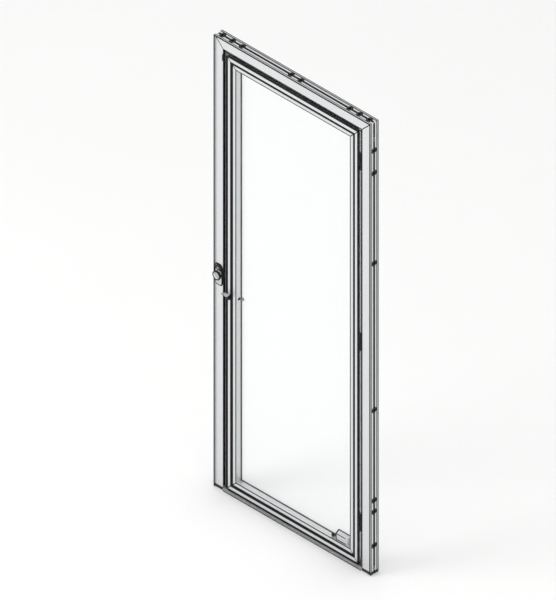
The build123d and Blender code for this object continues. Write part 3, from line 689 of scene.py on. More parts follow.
@dataclass
class Workshop:
    """Makes the scene's objects and hands them to the model's bodies."""

    palette: Palette
    nodes: dict[str, bpy.types.Object]
    made: list[tuple[str, str, int]] = field(default_factory=list)
    merge: float = 0.0000005
    weld: float = 0.000002
    smooth: float = 0.6
    flat_degrees: float = 0.4
    edge_degrees: float = 32.0

    def piece(
        self, name: str, parts: Sequence[Surface], body: str, slot: Slot, material: bpy.types.Material
    ) -> None:
        """Object from surfaces, riding on a body.

        Args:
            name: Name of the piece.
            parts: Its surfaces.
            body: Body of the model that it moves with.
            slot: Material slot of the record; not used.
            material: Material to show.
        """
        surface = Surface.joined(parts)
        mesh = bpy.data.meshes.new(name)
        mesh.from_pydata(surface.points, [], surface.faces)
        form = bmesh.new()
        form.from_mesh(mesh)
        bmesh.ops.remove_doubles(form, verts=form.verts[:], dist=self.merge)
        bmesh.ops.recalc_face_normals(form, faces=form.faces[:])
        form.to_mesh(mesh)
        form.free()
        made = bpy.data.objects.new(name, mesh)
        bpy.context.scene.collection.objects.link(made)
        mesh.materials.append(material)
        mesh.shade_smooth()
        mesh.set_sharp_from_angle(angle=self.smooth)
        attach(made, body)
        self.made.append((name, body, len(mesh.polygons)))

    def rubber(self, name: str, parts: Sequence[Surface], body: str) -> None:
        """Black rubber piece from surfaces, riding on a body."""
        self.piece(name, parts, body, Slot.RUBBER, self.palette.rubber)

    def dress(
        self, names: Sequence[str], material: bpy.types.Material, edge: float = 0.0, steps: int = 2
    ) -> None:
        """Give nodes of the model a finish, and break their sharp edges so that they catch the light.

        Args:
            names: Node names.
            material: Material to show.
            edge: Width of the broken edges, 0 for none.
            steps: Steps across them.
        """
        for name in names:
            data = self.nodes[name].data
            data.materials.clear()
            data.materials.append(material)
            if edge:
                self.soften(self.nodes[name], edge, steps)

    def soften(self, node: bpy.types.Object, edge: float, steps: int) -> None:
        """Weld a node's loose triangles, clear its flat faces and bevel its sharp edges.

        Args:
            node: Node of the model.
            edge: Width of the broken edges.
            steps: Steps across them.
        """
        weld = node.modifiers.new("weld", "WELD")
        weld.merge_threshold = self.weld
        flat = node.modifiers.new("flat", "DECIMATE")
        flat.decimate_type = "DISSOLVE"
        flat.angle_limit = math.radians(self.flat_degrees)
        bevel = node.modifiers.new("edge", "BEVEL")
        bevel.width = edge
        bevel.segments = steps
        bevel.limit_method = "ANGLE"
        bevel.angle_limit = math.radians(self.edge_degrees)
        bevel.use_clamp_overlap = True
        bevel.harden_normals = True


@dataclass(frozen=True)
class Screw:
    """Socket screw with a domed or countersunk head."""

    radius: float = 0.0034
    height: float = 0.0011
    socket: float = 0.0015
    depth: float = 0.0009
    sunk: float = 0.0012
    segments: int = 36

    def form(self) -> Surface:
        """Head that stands along +Z from its seat at 0: a turned dome round a six-sided socket.

        Returns:
            The head's surface.
        """
        flats = hexagon(self.segments)
        profile = [
            (self.radius * 0.55, -self.sunk),
            (self.radius, -self.sunk * 0.1),
            (self.radius, self.height * 0.35),
            (self.radius * 0.93, self.height * 0.72),
            (self.radius * 0.74, self.height),
            (self.socket * 1.22, self.height),
            (self.socket, self.height * 0.94),
            (self.socket, self.height - self.depth),
            (self.socket * 0.2, self.height - self.depth * 1.2),
        ]
        return turned(profile, self.segments, [1.0] * 5 + [flats] * 3 + [1.0])

    def row(self, places: Sequence[Point], facing: Facing) -> list[Surface]:
        """Several heads on their seats that face one way."""
        form = self.form()
        return [form.moved(facing.turn(), place) for place in places]


# Sub-assemblies


@dataclass
class FixedFrame:
    """Frame, sill, stops, connectors and clip."""

    shop: Workshop
    edge: float = 0.0006
    chamfer: float = 0.0003
    bars_across: tuple[str, ...] = ("head_rail", "sill", "head_stop")
    bars_up: tuple[str, ...] = ("left_jamb", "right_jamb", "left_stop", "right_stop")
    # Connector grid, in steps from the floor and from the left end
    grid: float = 0.062
    side_steps: tuple[float, ...] = (2.5, 5.5, 6.5, 14.5, 27.5, 35.5, 37.5)
    pin_steps: tuple[float, ...] = (0.5, 38.5)
    head_steps: tuple[float, ...] = (0.5, 1.5, 2.5, 7.5, 8.5, 13.5, 14.5, 15.5)
    # Washers and strips on the outer band
    floor: float = 0.0011
    flange: float = 0.0134
    washer: float = 0.0160
    washer_top: float = 0.0001
    washer_shoulder: float = 0.0005
    washer_round: float = 0.0004
    washer_segments: int = 48
    pin: float = 0.0090
    stem: float = 0.0026
    stem_depth: float = 0.0049
    brim: float = 0.0056
    brim_top: float = 0.0003
    foot_gap: float = 0.001
    # Seals on the outer edges
    land: float = 0.011
    land_end: float = 0.0122
    lap: float = 0.0030
    seal_crown: float = 0.0003
    seal_edge: float = 0.0002
    bulb: float = 0.0030
    bulb_sunk: float = 0.6
    bulb_steps: int = 12
    # Lines on the faces
    lip: float = 0.006
    # span of the black line that paints shade in the crease at the lip's foot
    lip_painted_shade: tuple[float, float] = (0.0006, 0.0026)
    line_width: float = 0.0034
    joint_width: float = 0.0046
    joint_end: float = 0.0004
    # Stops
    stop_face: float = 0.0224
    screw_pitch: float = 0.36
    head_pitch: float = 0.36 * 0.6
    screw_ends: tuple[float, float] = (0.12, 0.1)
    pad_drops: tuple[float, ...] = (0.0145, 0.0172, 0.0199)
    pad_rib: float = 0.0020
    pad_proud: float = 0.0009
    pad_ends: tuple[float, float] = (0.004, 0.029)
    hinges: tuple[str, ...] = ("lower", "middle", "upper")
    hinge_clear: float = 0.001
    # Strips in the hinge gap: a pale one that paints a lit band, and a black one that paints the shade beside
    # it
    painted_band_span: tuple[float, float] = (0.0006, 0.0050)
    painted_shade_start: float = 0.0054
    painted_band_proud: float = 0.0006
    painted_band_end: float = 0.03
    # Sill
    tread_ribs: int = 4
    tread_height: float = 0.0004
    tread_half: float = 0.0008
    tread_end: float = 0.004
    tread_edge: float = 0.0085
    tread_middle: float = 0.0075
    nosing_steps: int = 3
    nosing_rise: float = 0.010
    nosing_run: float = 0.006
    nosing_foot: float = 0.006
    insert_band: tuple[float, float] = (0.0004, 0.0028)
    insert_foot: tuple[float, float] = (0.0002, 0.0021)
    insert_proud: float = 0.0003
    insert_sunk: float = 0.0006
    insert_end: float = 0.002
    insert_chamfer: float = 0.0002

    def build(self) -> None:
        """Finish the frame and add its small fittings."""
        shop, palette = self.shop, self.shop.palette
        shop.dress(self.bars_across, palette.width_bar, self.edge)
        shop.dress(self.bars_up, palette.height_bar, self.edge)
        shop.dress(["frame_corner_keys"], palette.alloy)
        shop.dress(["left_ferrules", "right_ferrules", "head_ferrules"], palette.black)
        moulded = ["left_foot", "right_foot", "left_stop_shoe", "right_stop_shoe", "catch_clip"]
        shop.dress(moulded, palette.black, self.edge)
        seals = ["side_stop_seals", "head_stop_seal", "side_frame_gaskets", "head_frame_gasket"]
        shop.dress(seals, palette.rubber)
        self.stop_screws()
        self.tread()
        self.outer_seals()
        self.slot_strips()
        self.washers()
        self.mitres()
        self.reveal_line_and_painted_shade()
        self.head_pad()
        self.hinge_gap_painted_light()

    def outline(self) -> tuple[tuple[float, float], tuple[float, float]]:
        """Lowest and highest X and Z of the frame, the lowest Z at the feet's top."""
        low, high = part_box("left_jamb")[0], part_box("right_jamb")[1]
        return (low.x, low.z), (high.x, high.z)

    def outer_seals(self) -> None:
        """Lips swept over the steps of the outer band, and round bulbs, sunk in the frame's outer edges."""
        low, high = self.outline()
        turn = full_turn(self.bulb_steps)
        bulb = np.stack([np.cos(turn) - self.bulb_sunk, np.sin(turn)], axis=-1) * self.bulb
        strips = []
        for edge, inwards in ((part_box("head_rail")[0].y, 1.0), (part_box("head_rail")[1].y, -1.0)):
            land, free = edge + inwards * self.land, edge + inwards * self.land_end
            lapped = land - inwards * self.lap
            section = [
                (-self.floor, land),
                (-self.floor, free),
                (-self.seal_edge, free),
                (self.seal_crown, land),
                (self.seal_crown, lapped),
                (-self.seal_edge, lapped),
            ]
            strips.append(swept(section, low, high, False))
            ring = bulb + np.array([0.0, edge + inwards * self.bulb * self.bulb_sunk])
            strips.append(swept(ring, low, high, False))
        self.shop.rubber("outer_seals", strips, "frame")

    def slot_strips(self) -> None:
        """Cover strips on the outer slot, each a stem block under a flat brim block, between the holes."""
        low, high = self.outline()
        sides = [(step * self.grid, self.washer) for step in self.side_steps]
        sides += [(step * self.grid, self.pin) for step in self.pin_steps]
        head = [(step * self.grid - high[0], self.washer) for step in self.head_steps]
        blocks = []
        for half, deep, top in (
            (self.stem, self.stem_depth, self.floor),
            (self.brim, self.floor, self.brim_top),
        ):
            for start, stop in free_lengths(sides, low[1] + self.foot_gap, high[1] - self.lip):
                blocks.append(((low[0] + top, -half, start), (low[0] + deep, half, stop)))
                blocks.append(((high[0] - deep, -half, start), (high[0] - top, half, stop)))
            for start, stop in free_lengths(head, low[0] + self.lip, high[0] - self.lip):
                blocks.append(((start, -half, high[1] - deep), (stop, half, high[1] - top)))
        self.shop.rubber("slot_strips", [soft_block(*block, self.chamfer) for block in blocks], "frame")

    def washers(self) -> None:
        """Washers round the connector holes: a flat section turned about each hole's axis."""
        low, high = self.outline()
        section = [
            (self.flange, -self.floor),
            (self.washer, -self.floor),
            (self.washer, -self.washer_shoulder),
            (self.washer - self.washer_round, -self.washer_top),
            (self.flange, -self.washer_top),
            (self.flange, -self.floor),
        ]
        ring = turned(section, self.washer_segments, [1.0] * len(section), False)
        rings = [
            ring.moved(facing.turn(), (x, 0.0, step * self.grid))
            for x, facing in ((low[0], Facing.LEFT), (high[0], Facing.RIGHT))
            for step in self.side_steps
        ]
        up = Facing.UP.turn()
        rings += [ring.moved(up, (step * self.grid - high[0], 0.0, high[1])) for step in self.head_steps]
        self.shop.rubber("connector_washers", rings, "frame")

    def mitres(self) -> None:
        """Joint lines at the two mitred corners, over the lip and along the face, before and behind."""
        low, high = self.outline()
        rail_low, rail_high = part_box("head_rail")
        end, lip = self.joint_end, self.lip
        face = high[1] - rail_low.z - end
        front, back = rail_low.y, rail_high.y
        lines = (
            [(end, front + end), (lip, front + lip), (face, front + lip)],
            [(face, back - lip), (lip, back - lip), (end, back - end)],
        )
        beads = [
            seam(line, (x, high[1]), (sign, -1.0), self.joint_width)
            for line in lines
            for x, sign in ((low[0], 1.0), (high[0], -1.0))
        ]
        self.shop.rubber("frame_mitre_seams", beads, "frame")

    def reveal_line_and_painted_shade(self) -> None:
        """Slim lines swept along the front face: a black line at the foot of the outer lip that paints the
        shade in its crease, and a line along the reveal.
        """
        low, high = self.outline()
        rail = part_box("head_rail")[0]
        front, face = rail.y + self.lip, high[1] - rail.z
        lines = ((self.lip + self.lip_painted_shade[0], self.lip + self.lip_painted_shade[1]), (face - self.line_width, face))
        strips = [swept(flat_line(outer, inner, front), low, high, False) for outer, inner in lines]
        self.shop.rubber("reveal_line_and_painted_shade", strips, "frame")

    def head_pad(self) -> None:
        """Ribbed pad along the head stop's front face: one block per rib."""
        low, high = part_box("head_stop")
        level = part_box("head_rail")[0].z
        start, stop = low.x + self.pad_ends[0], high.x - self.pad_ends[1]
        ribs = []
        for top in (level - drop for drop in self.pad_drops):
            foot = (start, low.y - self.pad_proud, top - self.pad_rib)
            ribs.append(soft_block(foot, (stop, low.y + SUNK, top), SUNK))
        self.shop.rubber("head_pad", ribs, "frame")

    def hinge_gap_painted_light(self) -> None:
        """Painted light and shade in the hinge gap, side by side on the right stop's front, as blocks between
        the hinges: a pale strip paints a lit band and a black rubber strip paints shade.
        """
        low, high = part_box("right_stop")
        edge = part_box("right_stile")[1].x
        holes = []
        for name in self.hinges:
            foot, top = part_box(f"{name}_hinge_block")
            holes.append(((foot.z + top.z) / 2.0, (top.z - foot.z) / 2.0 + self.hinge_clear))
        spans = free_lengths(holes, low.z + self.painted_band_end, high.z - self.painted_band_end)
        first, last = self.painted_band_span
        palette = self.shop.palette
        # pale strip: painted light in the gap; black rubber strip: painted shade
        for name, start, stop, slot, finish in (
            ("hinge_gap_painted_light", edge + first, edge + last, Slot.PALE, palette.gap_painted_light),
            ("hinge_gap_painted_shade", edge + self.painted_shade_start, high.x - first, Slot.RUBBER, palette.rubber),
        ):
            strips = [
                soft_block(
                    (start, low.y - self.painted_band_proud, foot), (stop, low.y + SUNK, top), self.insert_chamfer
                )
                for foot, top in spans
            ]
            self.shop.piece(name, strips, "frame", slot, finish)

    def stop_screws(self) -> None:
        """Screws along the middle of the left and the head stop's front faces, at equal pitches."""
        first, last = self.screw_ends
        low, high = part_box("left_stop")
        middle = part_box("left_jamb")[1].x + self.stop_face / 2.0
        heights = np.arange(low.z + first, high.z - last, self.screw_pitch).tolist()
        seats = [(middle, low.y, height) for height in heights]
        low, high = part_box("head_stop")
        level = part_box("head_rail")[0].z - self.stop_face / 2.0
        across = np.arange(low.x + first, high.x - last, self.head_pitch).tolist()
        seats += [(place, low.y, level) for place in across]
        heads = Screw(0.0032, 0.0010).row(seats, Facing.FRONT)
        self.shop.piece("stop_screws", heads, "frame", Slot.STEEL, self.shop.palette.fitting)

    def tread(self) -> None:
        """Ribs at equal distances along the sill's top, and inserts in each step of its front."""
        low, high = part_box("sill")
        ribs = []
        for start, stop in (
            (low.y + self.tread_edge, -self.tread_middle),
            (self.tread_middle, high.y - self.tread_edge),
        ):
            for centre in np.linspace(start, stop, self.tread_ribs).tolist():
                foot = (low.x + self.tread_end, centre - self.tread_half, high.z - SUNK)
                top = (high.x - self.tread_end, centre + self.tread_half, high.z + self.tread_height)
                ribs.append(soft_block(foot, top, self.chamfer))
        rise, run = self.nosing_rise / self.nosing_steps, self.nosing_run / self.nosing_steps
        bands = [(low.y, *self.insert_foot)]
        foot, top = self.insert_band
        for step in range(-1, self.nosing_steps):
            level = self.nosing_foot + step * rise
            bands.append((low.y + max(step, 0) * run, level + foot, level + top))
        for depth, foot, top in bands:
            first = (low.x + self.insert_end, depth - self.insert_proud, foot)
            last = (high.x - self.insert_end, depth + self.insert_sunk, top)
            ribs.append(soft_block(first, last, self.insert_chamfer))
        self.shop.rubber("sill_tread", ribs, "frame")


@dataclass
class Leaf:
    """Glazed leaf with its gaskets, pulls and housing."""

    shop: Workshop
    edge: float = 0.0005
    fitting_edge: float = 0.0004
    bars_across: tuple[str, ...] = ("top_rail", "bottom_rail", "top_bead", "bottom_bead")
    bars_up: tuple[str, ...] = ("left_stile", "right_stile", "left_bead", "right_bead")
    # Lines on the front
    cap_width: float = 0.0120
    line_width: float = 0.0024
    side_width: float = 0.0046
    groove_line: float = 0.0022
    bead_line: float = 0.0012
    proud: float = 0.00012
    side_chamfer: float = 0.00004
    joint_width: float = 0.0044
    joint_end: float = 0.0004
    # Lips: offset outwards and depth from the bead's front, and a half round against the glass
    bead_section: Section = (
        (0.0042, 0.0002), (0.0040, -0.0003), (-0.0002, -0.0003),
        (-0.0005, 0.0), (-0.0005, 0.0014), (0.0002, 0.0014),
    )
    lip: float = 0.0010
    lip_steps: int = 9
    lip_root: float = 0.0005
    lip_back: float = 0.002
    gasket_cover: float = 0.008
    # Wiper: depth from the rail's front and height from its foot
    wiper_section: Section = (
        (0.0, 0.0), (0.0022, 0.0), (0.0022, -0.004), (0.0014, -0.0075),
        (0.0004, -0.0097), (-0.0002, -0.0097), (0.0004, -0.0072), (0.0, -0.004),
    )
    wiper_length: float = 0.0097
    wiper_clear: float = 0.0012
    wiper_inset: float = 0.0003
    wiper_end: float = 0.001
    # Cap of the pull: shares of its width from the left and of its depth from the back
    cap_plan: Section = (
        (0.90, 0.06), (0.30, 0.06), (0.20, 0.20), (0.07, 0.74),
        (0.26, 0.71), (0.81, 0.93), (0.95, 0.85), (0.95, 0.29),
    )
    cap_lifts: tuple[float, ...] = (-0.0008, 0.0004, 0.0008)
    cap_sizes: tuple[float, ...] = (1.0, 1.0, 0.95)
    # Housing
    housing_edge: float = 0.0010
    brow_share: float = 34.0 / 46.0
    housing_round: float = 0.014
    trim_proud: float = 0.0005
    trim_sunk: float = 0.0006
    trim_plate: tuple[float, float] = (-0.0008, 0.0060)
    trim_strip: float = 0.0044
    trim_drop: float = 0.0030
    trim_foot: float = 0.0001
    trim_end: float = 0.001
    trim_chamfer: float = 0.0002

    def build(self) -> None:
        """Finish the leaf and add its lips and small fittings."""
        shop, palette = self.shop, self.shop.palette
        shop.dress(self.bars_across, palette.width_bar, self.edge)
        shop.dress(self.bars_up, palette.height_bar, self.edge)
        shop.dress(["leaf_corner_keys"], palette.alloy)
        gaskets = ["side_edge_gaskets", "top_edge_gasket", "groove_gasket", "setting_blocks"]
        shop.dress(gaskets, palette.rubber)
        shop.dress(["glass_gaskets"], palette.seal)
        shop.dress(["glass_pane"], palette.glass)
        shop.dress(["bottom_brush"], palette.pile)
        shop.dress(["rear_knob", "screw_cap", "front_pull"], palette.black, self.fitting_edge)
        shop.dress(["adjuster_housing"], palette.pale, self.housing_edge, 3)
        shop.dress(["adjuster_knob"], palette.black)
        self.glass_lips()
        self.mitres()
        self.bead_lip()
        self.edge_line()
        self.wiper()
        self.pull_cap()
        self.housing_trim()

    def glass_lips(self) -> None:
        """Lips of half-elliptical section against both faces of the glass, swept round the opening."""
        pane_low, pane_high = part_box("glass_pane")
        low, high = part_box("glass_gaskets")
        inner_low = (low.x + self.gasket_cover, low.z + self.gasket_cover)
        inner_high = (high.x - self.gasket_cover, high.z - self.gasket_cover)
        turn = np.linspace(0.0, math.pi, self.lip_steps)
        palette = self.shop.palette
        for name, seat, outwards, finish in (
            ("front_glass_lip", pane_low.y, -1.0, palette.seal),
            ("rear_glass_lip", pane_high.y, 1.0, palette.rubber),
        ):
            rise = outwards * (1.0 - np.cos(turn)) * self.lip / 2.0
            arch = np.stack([-np.sin(turn) * self.lip, seat + rise], axis=-1)
            root = np.array([(self.lip_root, seat + outwards * self.lip_back), (self.lip_root, seat)])
            strip = swept(np.concatenate([root, arch]), inner_low, inner_high, True)
            self.shop.piece(name, [strip], "leaf", Slot.RUBBER, finish)

    def mitres(self) -> None:
        """Joint lines at the four corners, over the leaf's face, the beads and the back."""
        low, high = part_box("left_stile")[0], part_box("right_stile")[1]
        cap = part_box("groove_gasket")[0].x - low.x
        start, stop = self.joint_end, high.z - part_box("top_rail")[0].z - self.joint_end
        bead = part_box("left_bead")[0].y
        lines = (
            [(start, low.y), (cap, low.y)],
            [(cap + self.cap_width, bead), (stop, bead)],
            [(stop, high.y), (start, high.y)],
        )
        beads = [
            seam(line, (x, z), (across, up), self.joint_width)
            for line in lines
            for x, across in ((low.x, 1.0), (high.x, -1.0))
            for z, up in ((low.z, 1.0), (high.z, -1.0))
        ]
        self.shop.rubber("leaf_mitre_seams", beads, "leaf")

    def bead_lip(self) -> None:
        """Slim lip swept round the front inner edge of the glazing beads."""
        low = (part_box("left_bead")[1].x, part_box("bottom_bead")[1].z)
        high = (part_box("right_bead")[0].x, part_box("top_bead")[0].z)
        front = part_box("left_bead")[0].y
        section = [(out, front + depth) for out, depth in self.bead_section]
        self.shop.rubber("bead_lip", [swept(section, low, high, True)], "leaf")

    def edge_line(self) -> None:
        """Slim lines swept round the leaf's outer edge and both sides of the groove, wider at the sides."""
        low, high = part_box("left_stile")[0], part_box("right_stile")[1]
        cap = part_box("groove_gasket")[0].x - low.x
        inner = cap + self.cap_width
        lines = (
            (0.0, self.line_width, low.y),
            (cap - self.groove_line, cap + SUNK, low.y),
            (inner - SUNK, inner + self.bead_line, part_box("left_bead")[0].y),
        )
        corners = (low.x, low.z), (high.x, high.z)
        strips = [swept(flat_line(*line, self.proud), *corners, True) for line in lines]
        for start in (low.x + self.line_width, high.x - self.side_width):
            foot = (start, low.y - self.proud, low.z + self.line_width)
            top = (start + self.side_width - self.line_width, low.y + SUNK, high.z - self.line_width)
            strips.append(soft_block(foot, top, self.side_chamfer))
        self.shop.rubber("leaf_edge_line", strips, "leaf")

    def wiper(self) -> None:
        """Wiper under the bottom rail's front edge: its section, stretched to the sill, carried along X."""
        low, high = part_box("bottom_rail")
        section = np.array(self.wiper_section)
        drop = low.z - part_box("sill")[1].z - self.wiper_clear
        level = low.z + section[:, 1] * (drop / self.wiper_length)
        depth = low.y + section[:, 0] + self.wiper_inset
        ends = (low.x + self.wiper_end, high.x - self.wiper_end)
        rings = np.stack([np.column_stack([np.full(len(section), end), depth, level]) for end in ends])
        self.shop.rubber("bottom_wiper", [tube(rings)], "leaf")

    def pull_cap(self) -> None:
        """Pale cap let into the front pull's top: its plan at three levels, the top one drawn in."""
        low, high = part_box("front_pull")
        share = np.array(self.cap_plan)
        plan = np.column_stack(
            [low.x + share[:, 0] * (high.x - low.x), high.y - share[:, 1] * (high.y - low.y)]
        )
        centre = plan.mean(axis=0)
        rings = [
            np.column_stack([centre + (plan - centre) * size, np.full(len(plan), high.z + lift)])
            for lift, size in zip(self.cap_lifts, self.cap_sizes)
        ]
        self.shop.piece("pull_cap", [tube(np.stack(rings))], "leaf", Slot.PALE, self.shop.palette.pale)

    def housing_trim(self) -> None:
        """End plate of the housing, its sloping outline carried along X, and blocks along its edges."""
        low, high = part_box("adjuster_housing")
        brow = low.z + (high.z - low.z) * self.brow_share
        front, strip, proud = low.y - self.trim_proud, self.trim_strip, self.trim_proud
        start, end = low.x + self.trim_plate[1], high.x - self.housing_round
        outline = np.array([(front, low.z), (high.y, low.z), (high.y, high.z + proud), (front, brow + proud)])
        rings = [np.column_stack([np.full(4, low.x + x), outline]) for x in self.trim_plate]
        blocks = (
            ((start, front, low.z + self.trim_foot), (end, low.y + self.trim_sunk, low.z + strip)),
            ((start, front, brow - strip), (end, low.y + self.trim_sunk, brow + self.trim_chamfer)),
            (
                (start, high.y - strip, high.z - self.trim_drop),
                (high.x - self.trim_end, high.y - self.trim_chamfer, high.z + proud),
            ),
        )
        parts = [tube(np.stack(rings))] + [soft_block(*block, self.trim_chamfer) for block in blocks]
        self.shop.piece("housing_trim", parts, "leaf", Slot.BLACK, self.shop.palette.black)


@dataclass
class Hinges:
    """Three hinges with their screws."""

    shop: Workshop
    names: tuple[str, ...] = ("lower", "middle", "upper")
    edge: float = 0.0004
    spread: float = 0.034
    block_seat: float = 0.0149
    plate_seat: float = 0.0025
    row: float = 0.008

    def build(self) -> None:
        """Finish the hinges and add their screws, evenly spread about each hinge's middle."""
        palette = self.shop.palette
        blocks, plates = [], []
        for name in self.names:
            self.shop.dress([f"{name}_hinge_block", f"{name}_hinge_plate"], palette.powder, self.edge)
            low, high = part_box(f"{name}_hinge_block")
            middle = (low.z + high.z) / 2.0
            seat = (high.x - self.block_seat, high.y - self.row)
            blocks += [(*seat, middle + step * self.spread) for step in (-1.0, 0.0, 1.0)]
            low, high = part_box(f"{name}_hinge_plate")
            seat = (low.x + self.plate_seat, high.y - self.row)
            plates += [(*seat, middle + step * self.spread) for step in (-1.0, 1.0)]
        self.shop.dress(["hinge_pins"], palette.fitting)
        screw = Screw(0.0036, 0.0012)
        heads = screw.row(blocks, Facing.LEFT)
        self.shop.piece("hinge_block_screws", heads, "frame", Slot.STEEL, palette.fitting)
        heads = screw.row(plates, Facing.RIGHT)
        self.shop.piece("hinge_plate_screws", heads, "leaf", Slot.STEEL, palette.fitting)


@dataclass
class Lock:
    """Lock plate, knob, works, cylinder, guard and strike."""

    shop: Workshop
    guard_edge: float = 0.0007
    # Knob's rim
    rim_flutes: int = 44
    flute_points: int = 6
    rim_depth: float = 0.0004
    rim_proud: float = 0.0020
    rim_round: float = 0.0005
    rim_shoulder: float = 0.0006
    rim_lap: float = 0.0042
    rim_root: float = 0.003
    rim_span: tuple[float, float] = (0.0017, 0.0104)
    # Plate and bezel
    boss: float = 0.0022
    margin: float = 0.0030
    corner: float = 0.016
    corner_steps: int = 12
    left_inset: float = 0.0002
    bezel_wall: float = 0.0014
    bezel_proud: float = 0.0005
    bezel_crown: float = 0.0006
    bezel_edge: tuple[float, float] = (0.0004, 0.0003)
    # Screws
    plate_drop: float = 0.002
    strike_end: float = 0.009

    def build(self) -> None:
        """Finish the lock and add its screws, the knob's milled rim and the plate's bezel."""
        shop, palette = self.shop, self.shop.palette
        shop.dress(["strike_plate", "lock_case", "lock_cover", "key_plug"], palette.steel)
        shop.dress(["lock_plate", "lock_knob", "lock_spindle", "lock_bolt"], palette.fitting)
        shop.dress(["key_cylinder"], palette.brass)
        shop.dress(["key_guard"], palette.black, self.guard_edge, 3)
        self.screws()
        self.rim()
        self.bezel()

    def plan(self, margin: float) -> np.ndarray:
        """Lock plate's outline moved outwards: four quarter circles round the corners' centres.

        Args:
            margin: Distance outwards.

        Returns:
            X and Z of its points, drawn in to the plate's left edge on that side.
        """
        low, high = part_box("lock_plate")
        turn = np.linspace(0.0, math.pi / 2.0, self.corner_steps)
        centre = np.array([(high.x + low.x) / 2.0, (high.z + low.z) / 2.0])
        half = np.array([high.x - low.x, high.z - low.z]) / 2.0 - self.corner
        arcs = []
        for quarter, signs in enumerate(((1.0, 1.0), (-1.0, 1.0), (-1.0, -1.0), (1.0, -1.0))):
            angle = turn + quarter * math.pi / 2.0
            arc = np.stack([np.cos(angle), np.sin(angle)], axis=-1) * (self.corner + margin)
            arcs.append(centre + half * np.array(signs) + arc)
        points = np.concatenate(arcs)
        points[:, 0] = np.maximum(points[:, 0], low.x + self.left_inset)
        return points

    def bezel(self) -> None:
        """Rubber frame that laps over the lock plate's edge: its outline at stepped margins and depths."""
        low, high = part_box("lock_plate")
        face, front = high.y, low.y + self.boss
        steps = (
            (self.margin, face),
            (self.margin, face - self.bezel_wall),
            (self.bezel_crown, front - self.bezel_proud),
            (-self.margin, front - self.bezel_proud),
            (-self.margin - self.bezel_edge[0], front + self.bezel_edge[1]),
            (self.margin, face),
        )
        rings = []
        for margin, depth in steps:
            across, up = self.plan(margin).T
            rings.append(np.column_stack([across, np.full(len(up), depth), up]))
        self.shop.rubber("lock_bezel", [tube(np.stack(rings), False)], "frame")

    def screws(self) -> None:
        """Screw of the lock plate, midway between its foot and the knob, and two of the strike plate."""
        palette = self.shop.palette
        low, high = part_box("lock_plate")
        level = (low.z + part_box("lock_knob")[0].z) / 2.0 - self.plate_drop
        seats = [((low.x + high.x) / 2.0, low.y + self.boss, level)]
        heads = Screw(0.0036, 0.0010).row(seats, Facing.FRONT)
        self.shop.piece("lock_plate_screw", heads, "frame", Slot.STEEL, palette.fitting)
        low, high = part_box("strike_plate")
        depth = (low.y + high.y) / 2.0
        seats = [(low.x, depth, level) for level in (low.z + self.strike_end, high.z - self.strike_end)]
        heads = Screw(0.0034, 0.0009).row(seats, Facing.LEFT)
        self.shop.piece("strike_screws", heads, "leaf", Slot.STEEL, palette.fitting)

    def rim(self) -> None:
        """Milled rim round the turn knob: a turned band whose radius swings as a cosine, once per flute."""
        low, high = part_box("lock_knob")
        radius = (high.z - low.z) / 2.0
        outer = radius + self.rim_proud
        segments = self.rim_flutes * self.flute_points
        flutes = 1.0 + self.rim_depth / radius * np.cos(full_turn(segments) * self.rim_flutes)
        front, back = (-low.y - depth for depth in self.rim_span)
        profile = [
            (radius - self.rim_root, back),
            (outer - self.rim_round, back),
            (outer, back + self.rim_shoulder),
            (outer, front - self.rim_shoulder),
            (outer - self.rim_round, front),
            (radius - self.rim_lap, front),
            (radius - self.rim_lap, front - self.rim_shoulder),
        ]
        band = turned(profile, segments, [1.0, 1.0, flutes, flutes, 1.0, 1.0, 1.0])
        centre = ((low.x + high.x) / 2.0, 0.0, (low.z + high.z) / 2.0)
        placed = band.moved(Facing.FRONT.turn(), centre)
        self.shop.piece("knob_rim", [placed], "knob", Slot.BLACK, self.shop.palette.black)


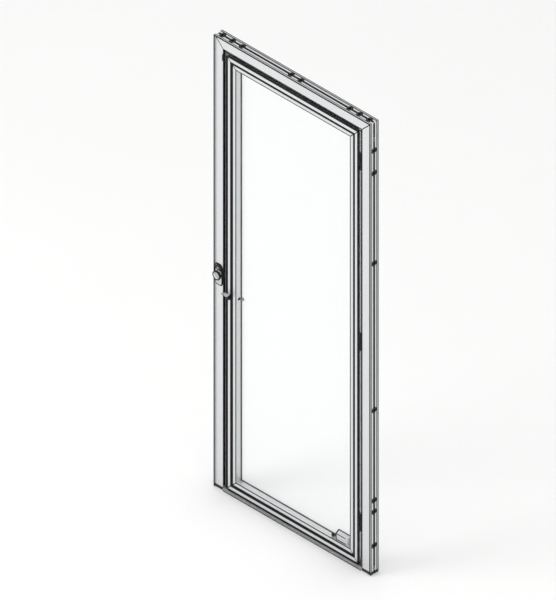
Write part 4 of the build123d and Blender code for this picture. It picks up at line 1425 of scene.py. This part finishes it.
@dataclass
class Studio:
    """Floor, light and camera."""

    palette: Palette
    floor_half: float = 60.0
    floor_level: float = -0.0005
    surround: float = 0.95
    lamps: tuple[tuple[str, Point, float, float], ...] = (
        ("key_light", (-2.4, -4.2, 4.6), 3.2, 95.0),
        ("side_light", (4.6, -1.6, 2.8), 2.6, 20.0),
    )
    lamp_aim: Point = (0.0, 0.0, 1.2)
    scale: float = 2.692
    centre_right: float = -0.0811
    centre_up: float = 1.0255
    azimuth: float = 45.0
    elevation: float = 35.2644
    distance: float = 9.0
    reach: float = 60.0

    def build(self) -> None:
        """Make the floor, the lights and the camera."""
        self.floor()
        self.lights()
        self.camera()

    def floor(self) -> None:
        """One large pale square under the object."""
        signs = np.array([(-1.0, -1.0), (1.0, -1.0), (1.0, 1.0), (-1.0, 1.0)])
        points = np.column_stack([signs * self.floor_half, np.full(4, self.floor_level)])
        mesh = bpy.data.meshes.new("studio_floor")
        mesh.from_pydata(points, [], [[0, 1, 2, 3]])
        mesh.materials.append(self.palette.ground)
        made = bpy.data.objects.new("studio_floor", mesh)
        bpy.context.scene.collection.objects.link(made)

    def lights(self) -> None:
        """Bright even surround with two large soft lights that look at the middle of the door."""
        scene = bpy.context.scene
        scene.view_settings.view_transform = "Standard"
        world = bpy.data.worlds.new("surround")
        scene.world = world
        world.use_nodes = True
        background = world.node_tree.nodes["Background"]
        background.inputs["Color"].default_value = (1.0, 1.0, 1.0, 1.0)
        background.inputs["Strength"].default_value = self.surround
        for name, place, size, power in self.lamps:
            lamp = bpy.data.lights.new(name, "AREA")
            lamp.shape = "DISK"
            lamp.size = size
            lamp.energy = power
            made = bpy.data.objects.new(name, lamp)
            made.location = place
            aim = Vector(self.lamp_aim) - Vector(place)
            made.rotation_euler = aim.to_track_quat("-Z", "Y").to_euler()
            scene.collection.objects.link(made)

    def camera(self) -> None:
        """Parallel camera at the drawing's viewing angle: its axes from azimuth and elevation."""
        turn, rise = math.radians(self.azimuth), math.radians(self.elevation)
        back = Vector((math.sin(turn) * math.cos(rise), -math.cos(turn) * math.cos(rise), math.sin(rise)))
        right = Vector((math.cos(turn), math.sin(turn), 0.0))
        up = back.cross(right)
        data = bpy.data.cameras.new("view")
        data.type = "ORTHO"
        data.ortho_scale = self.scale
        data.clip_end = self.reach
        made = bpy.data.objects.new("view", data)
        basis = Matrix((right, up, back)).transposed().to_4x4()
        basis.translation = right * self.centre_right + up * self.centre_up + back * self.distance
        made.matrix_world = basis
        bpy.context.scene.collection.objects.link(made)
        bpy.context.scene.camera = made


def main() -> None:
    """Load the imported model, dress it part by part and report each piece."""
    logging.basicConfig(level=logging.INFO, format="%(name)s: %(message)s")
    for data in (bpy.data.objects, bpy.data.meshes, bpy.data.materials):
        for item in list(data):
            data.remove(item)
    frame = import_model()
    palette = Palette()
    shop = Workshop(palette, frame["nodes"])
    for part in (FixedFrame(shop), Leaf(shop), Hinges(shop), Lock(shop), Studio(palette)):
        part.build()
        LOG.info("built %s", type(part).__name__)
    for name, body, faces in shop.made:
        LOG.info("piece %s on %s, %d faces", name, body, faces)


if __name__ == "__main__":
    main()
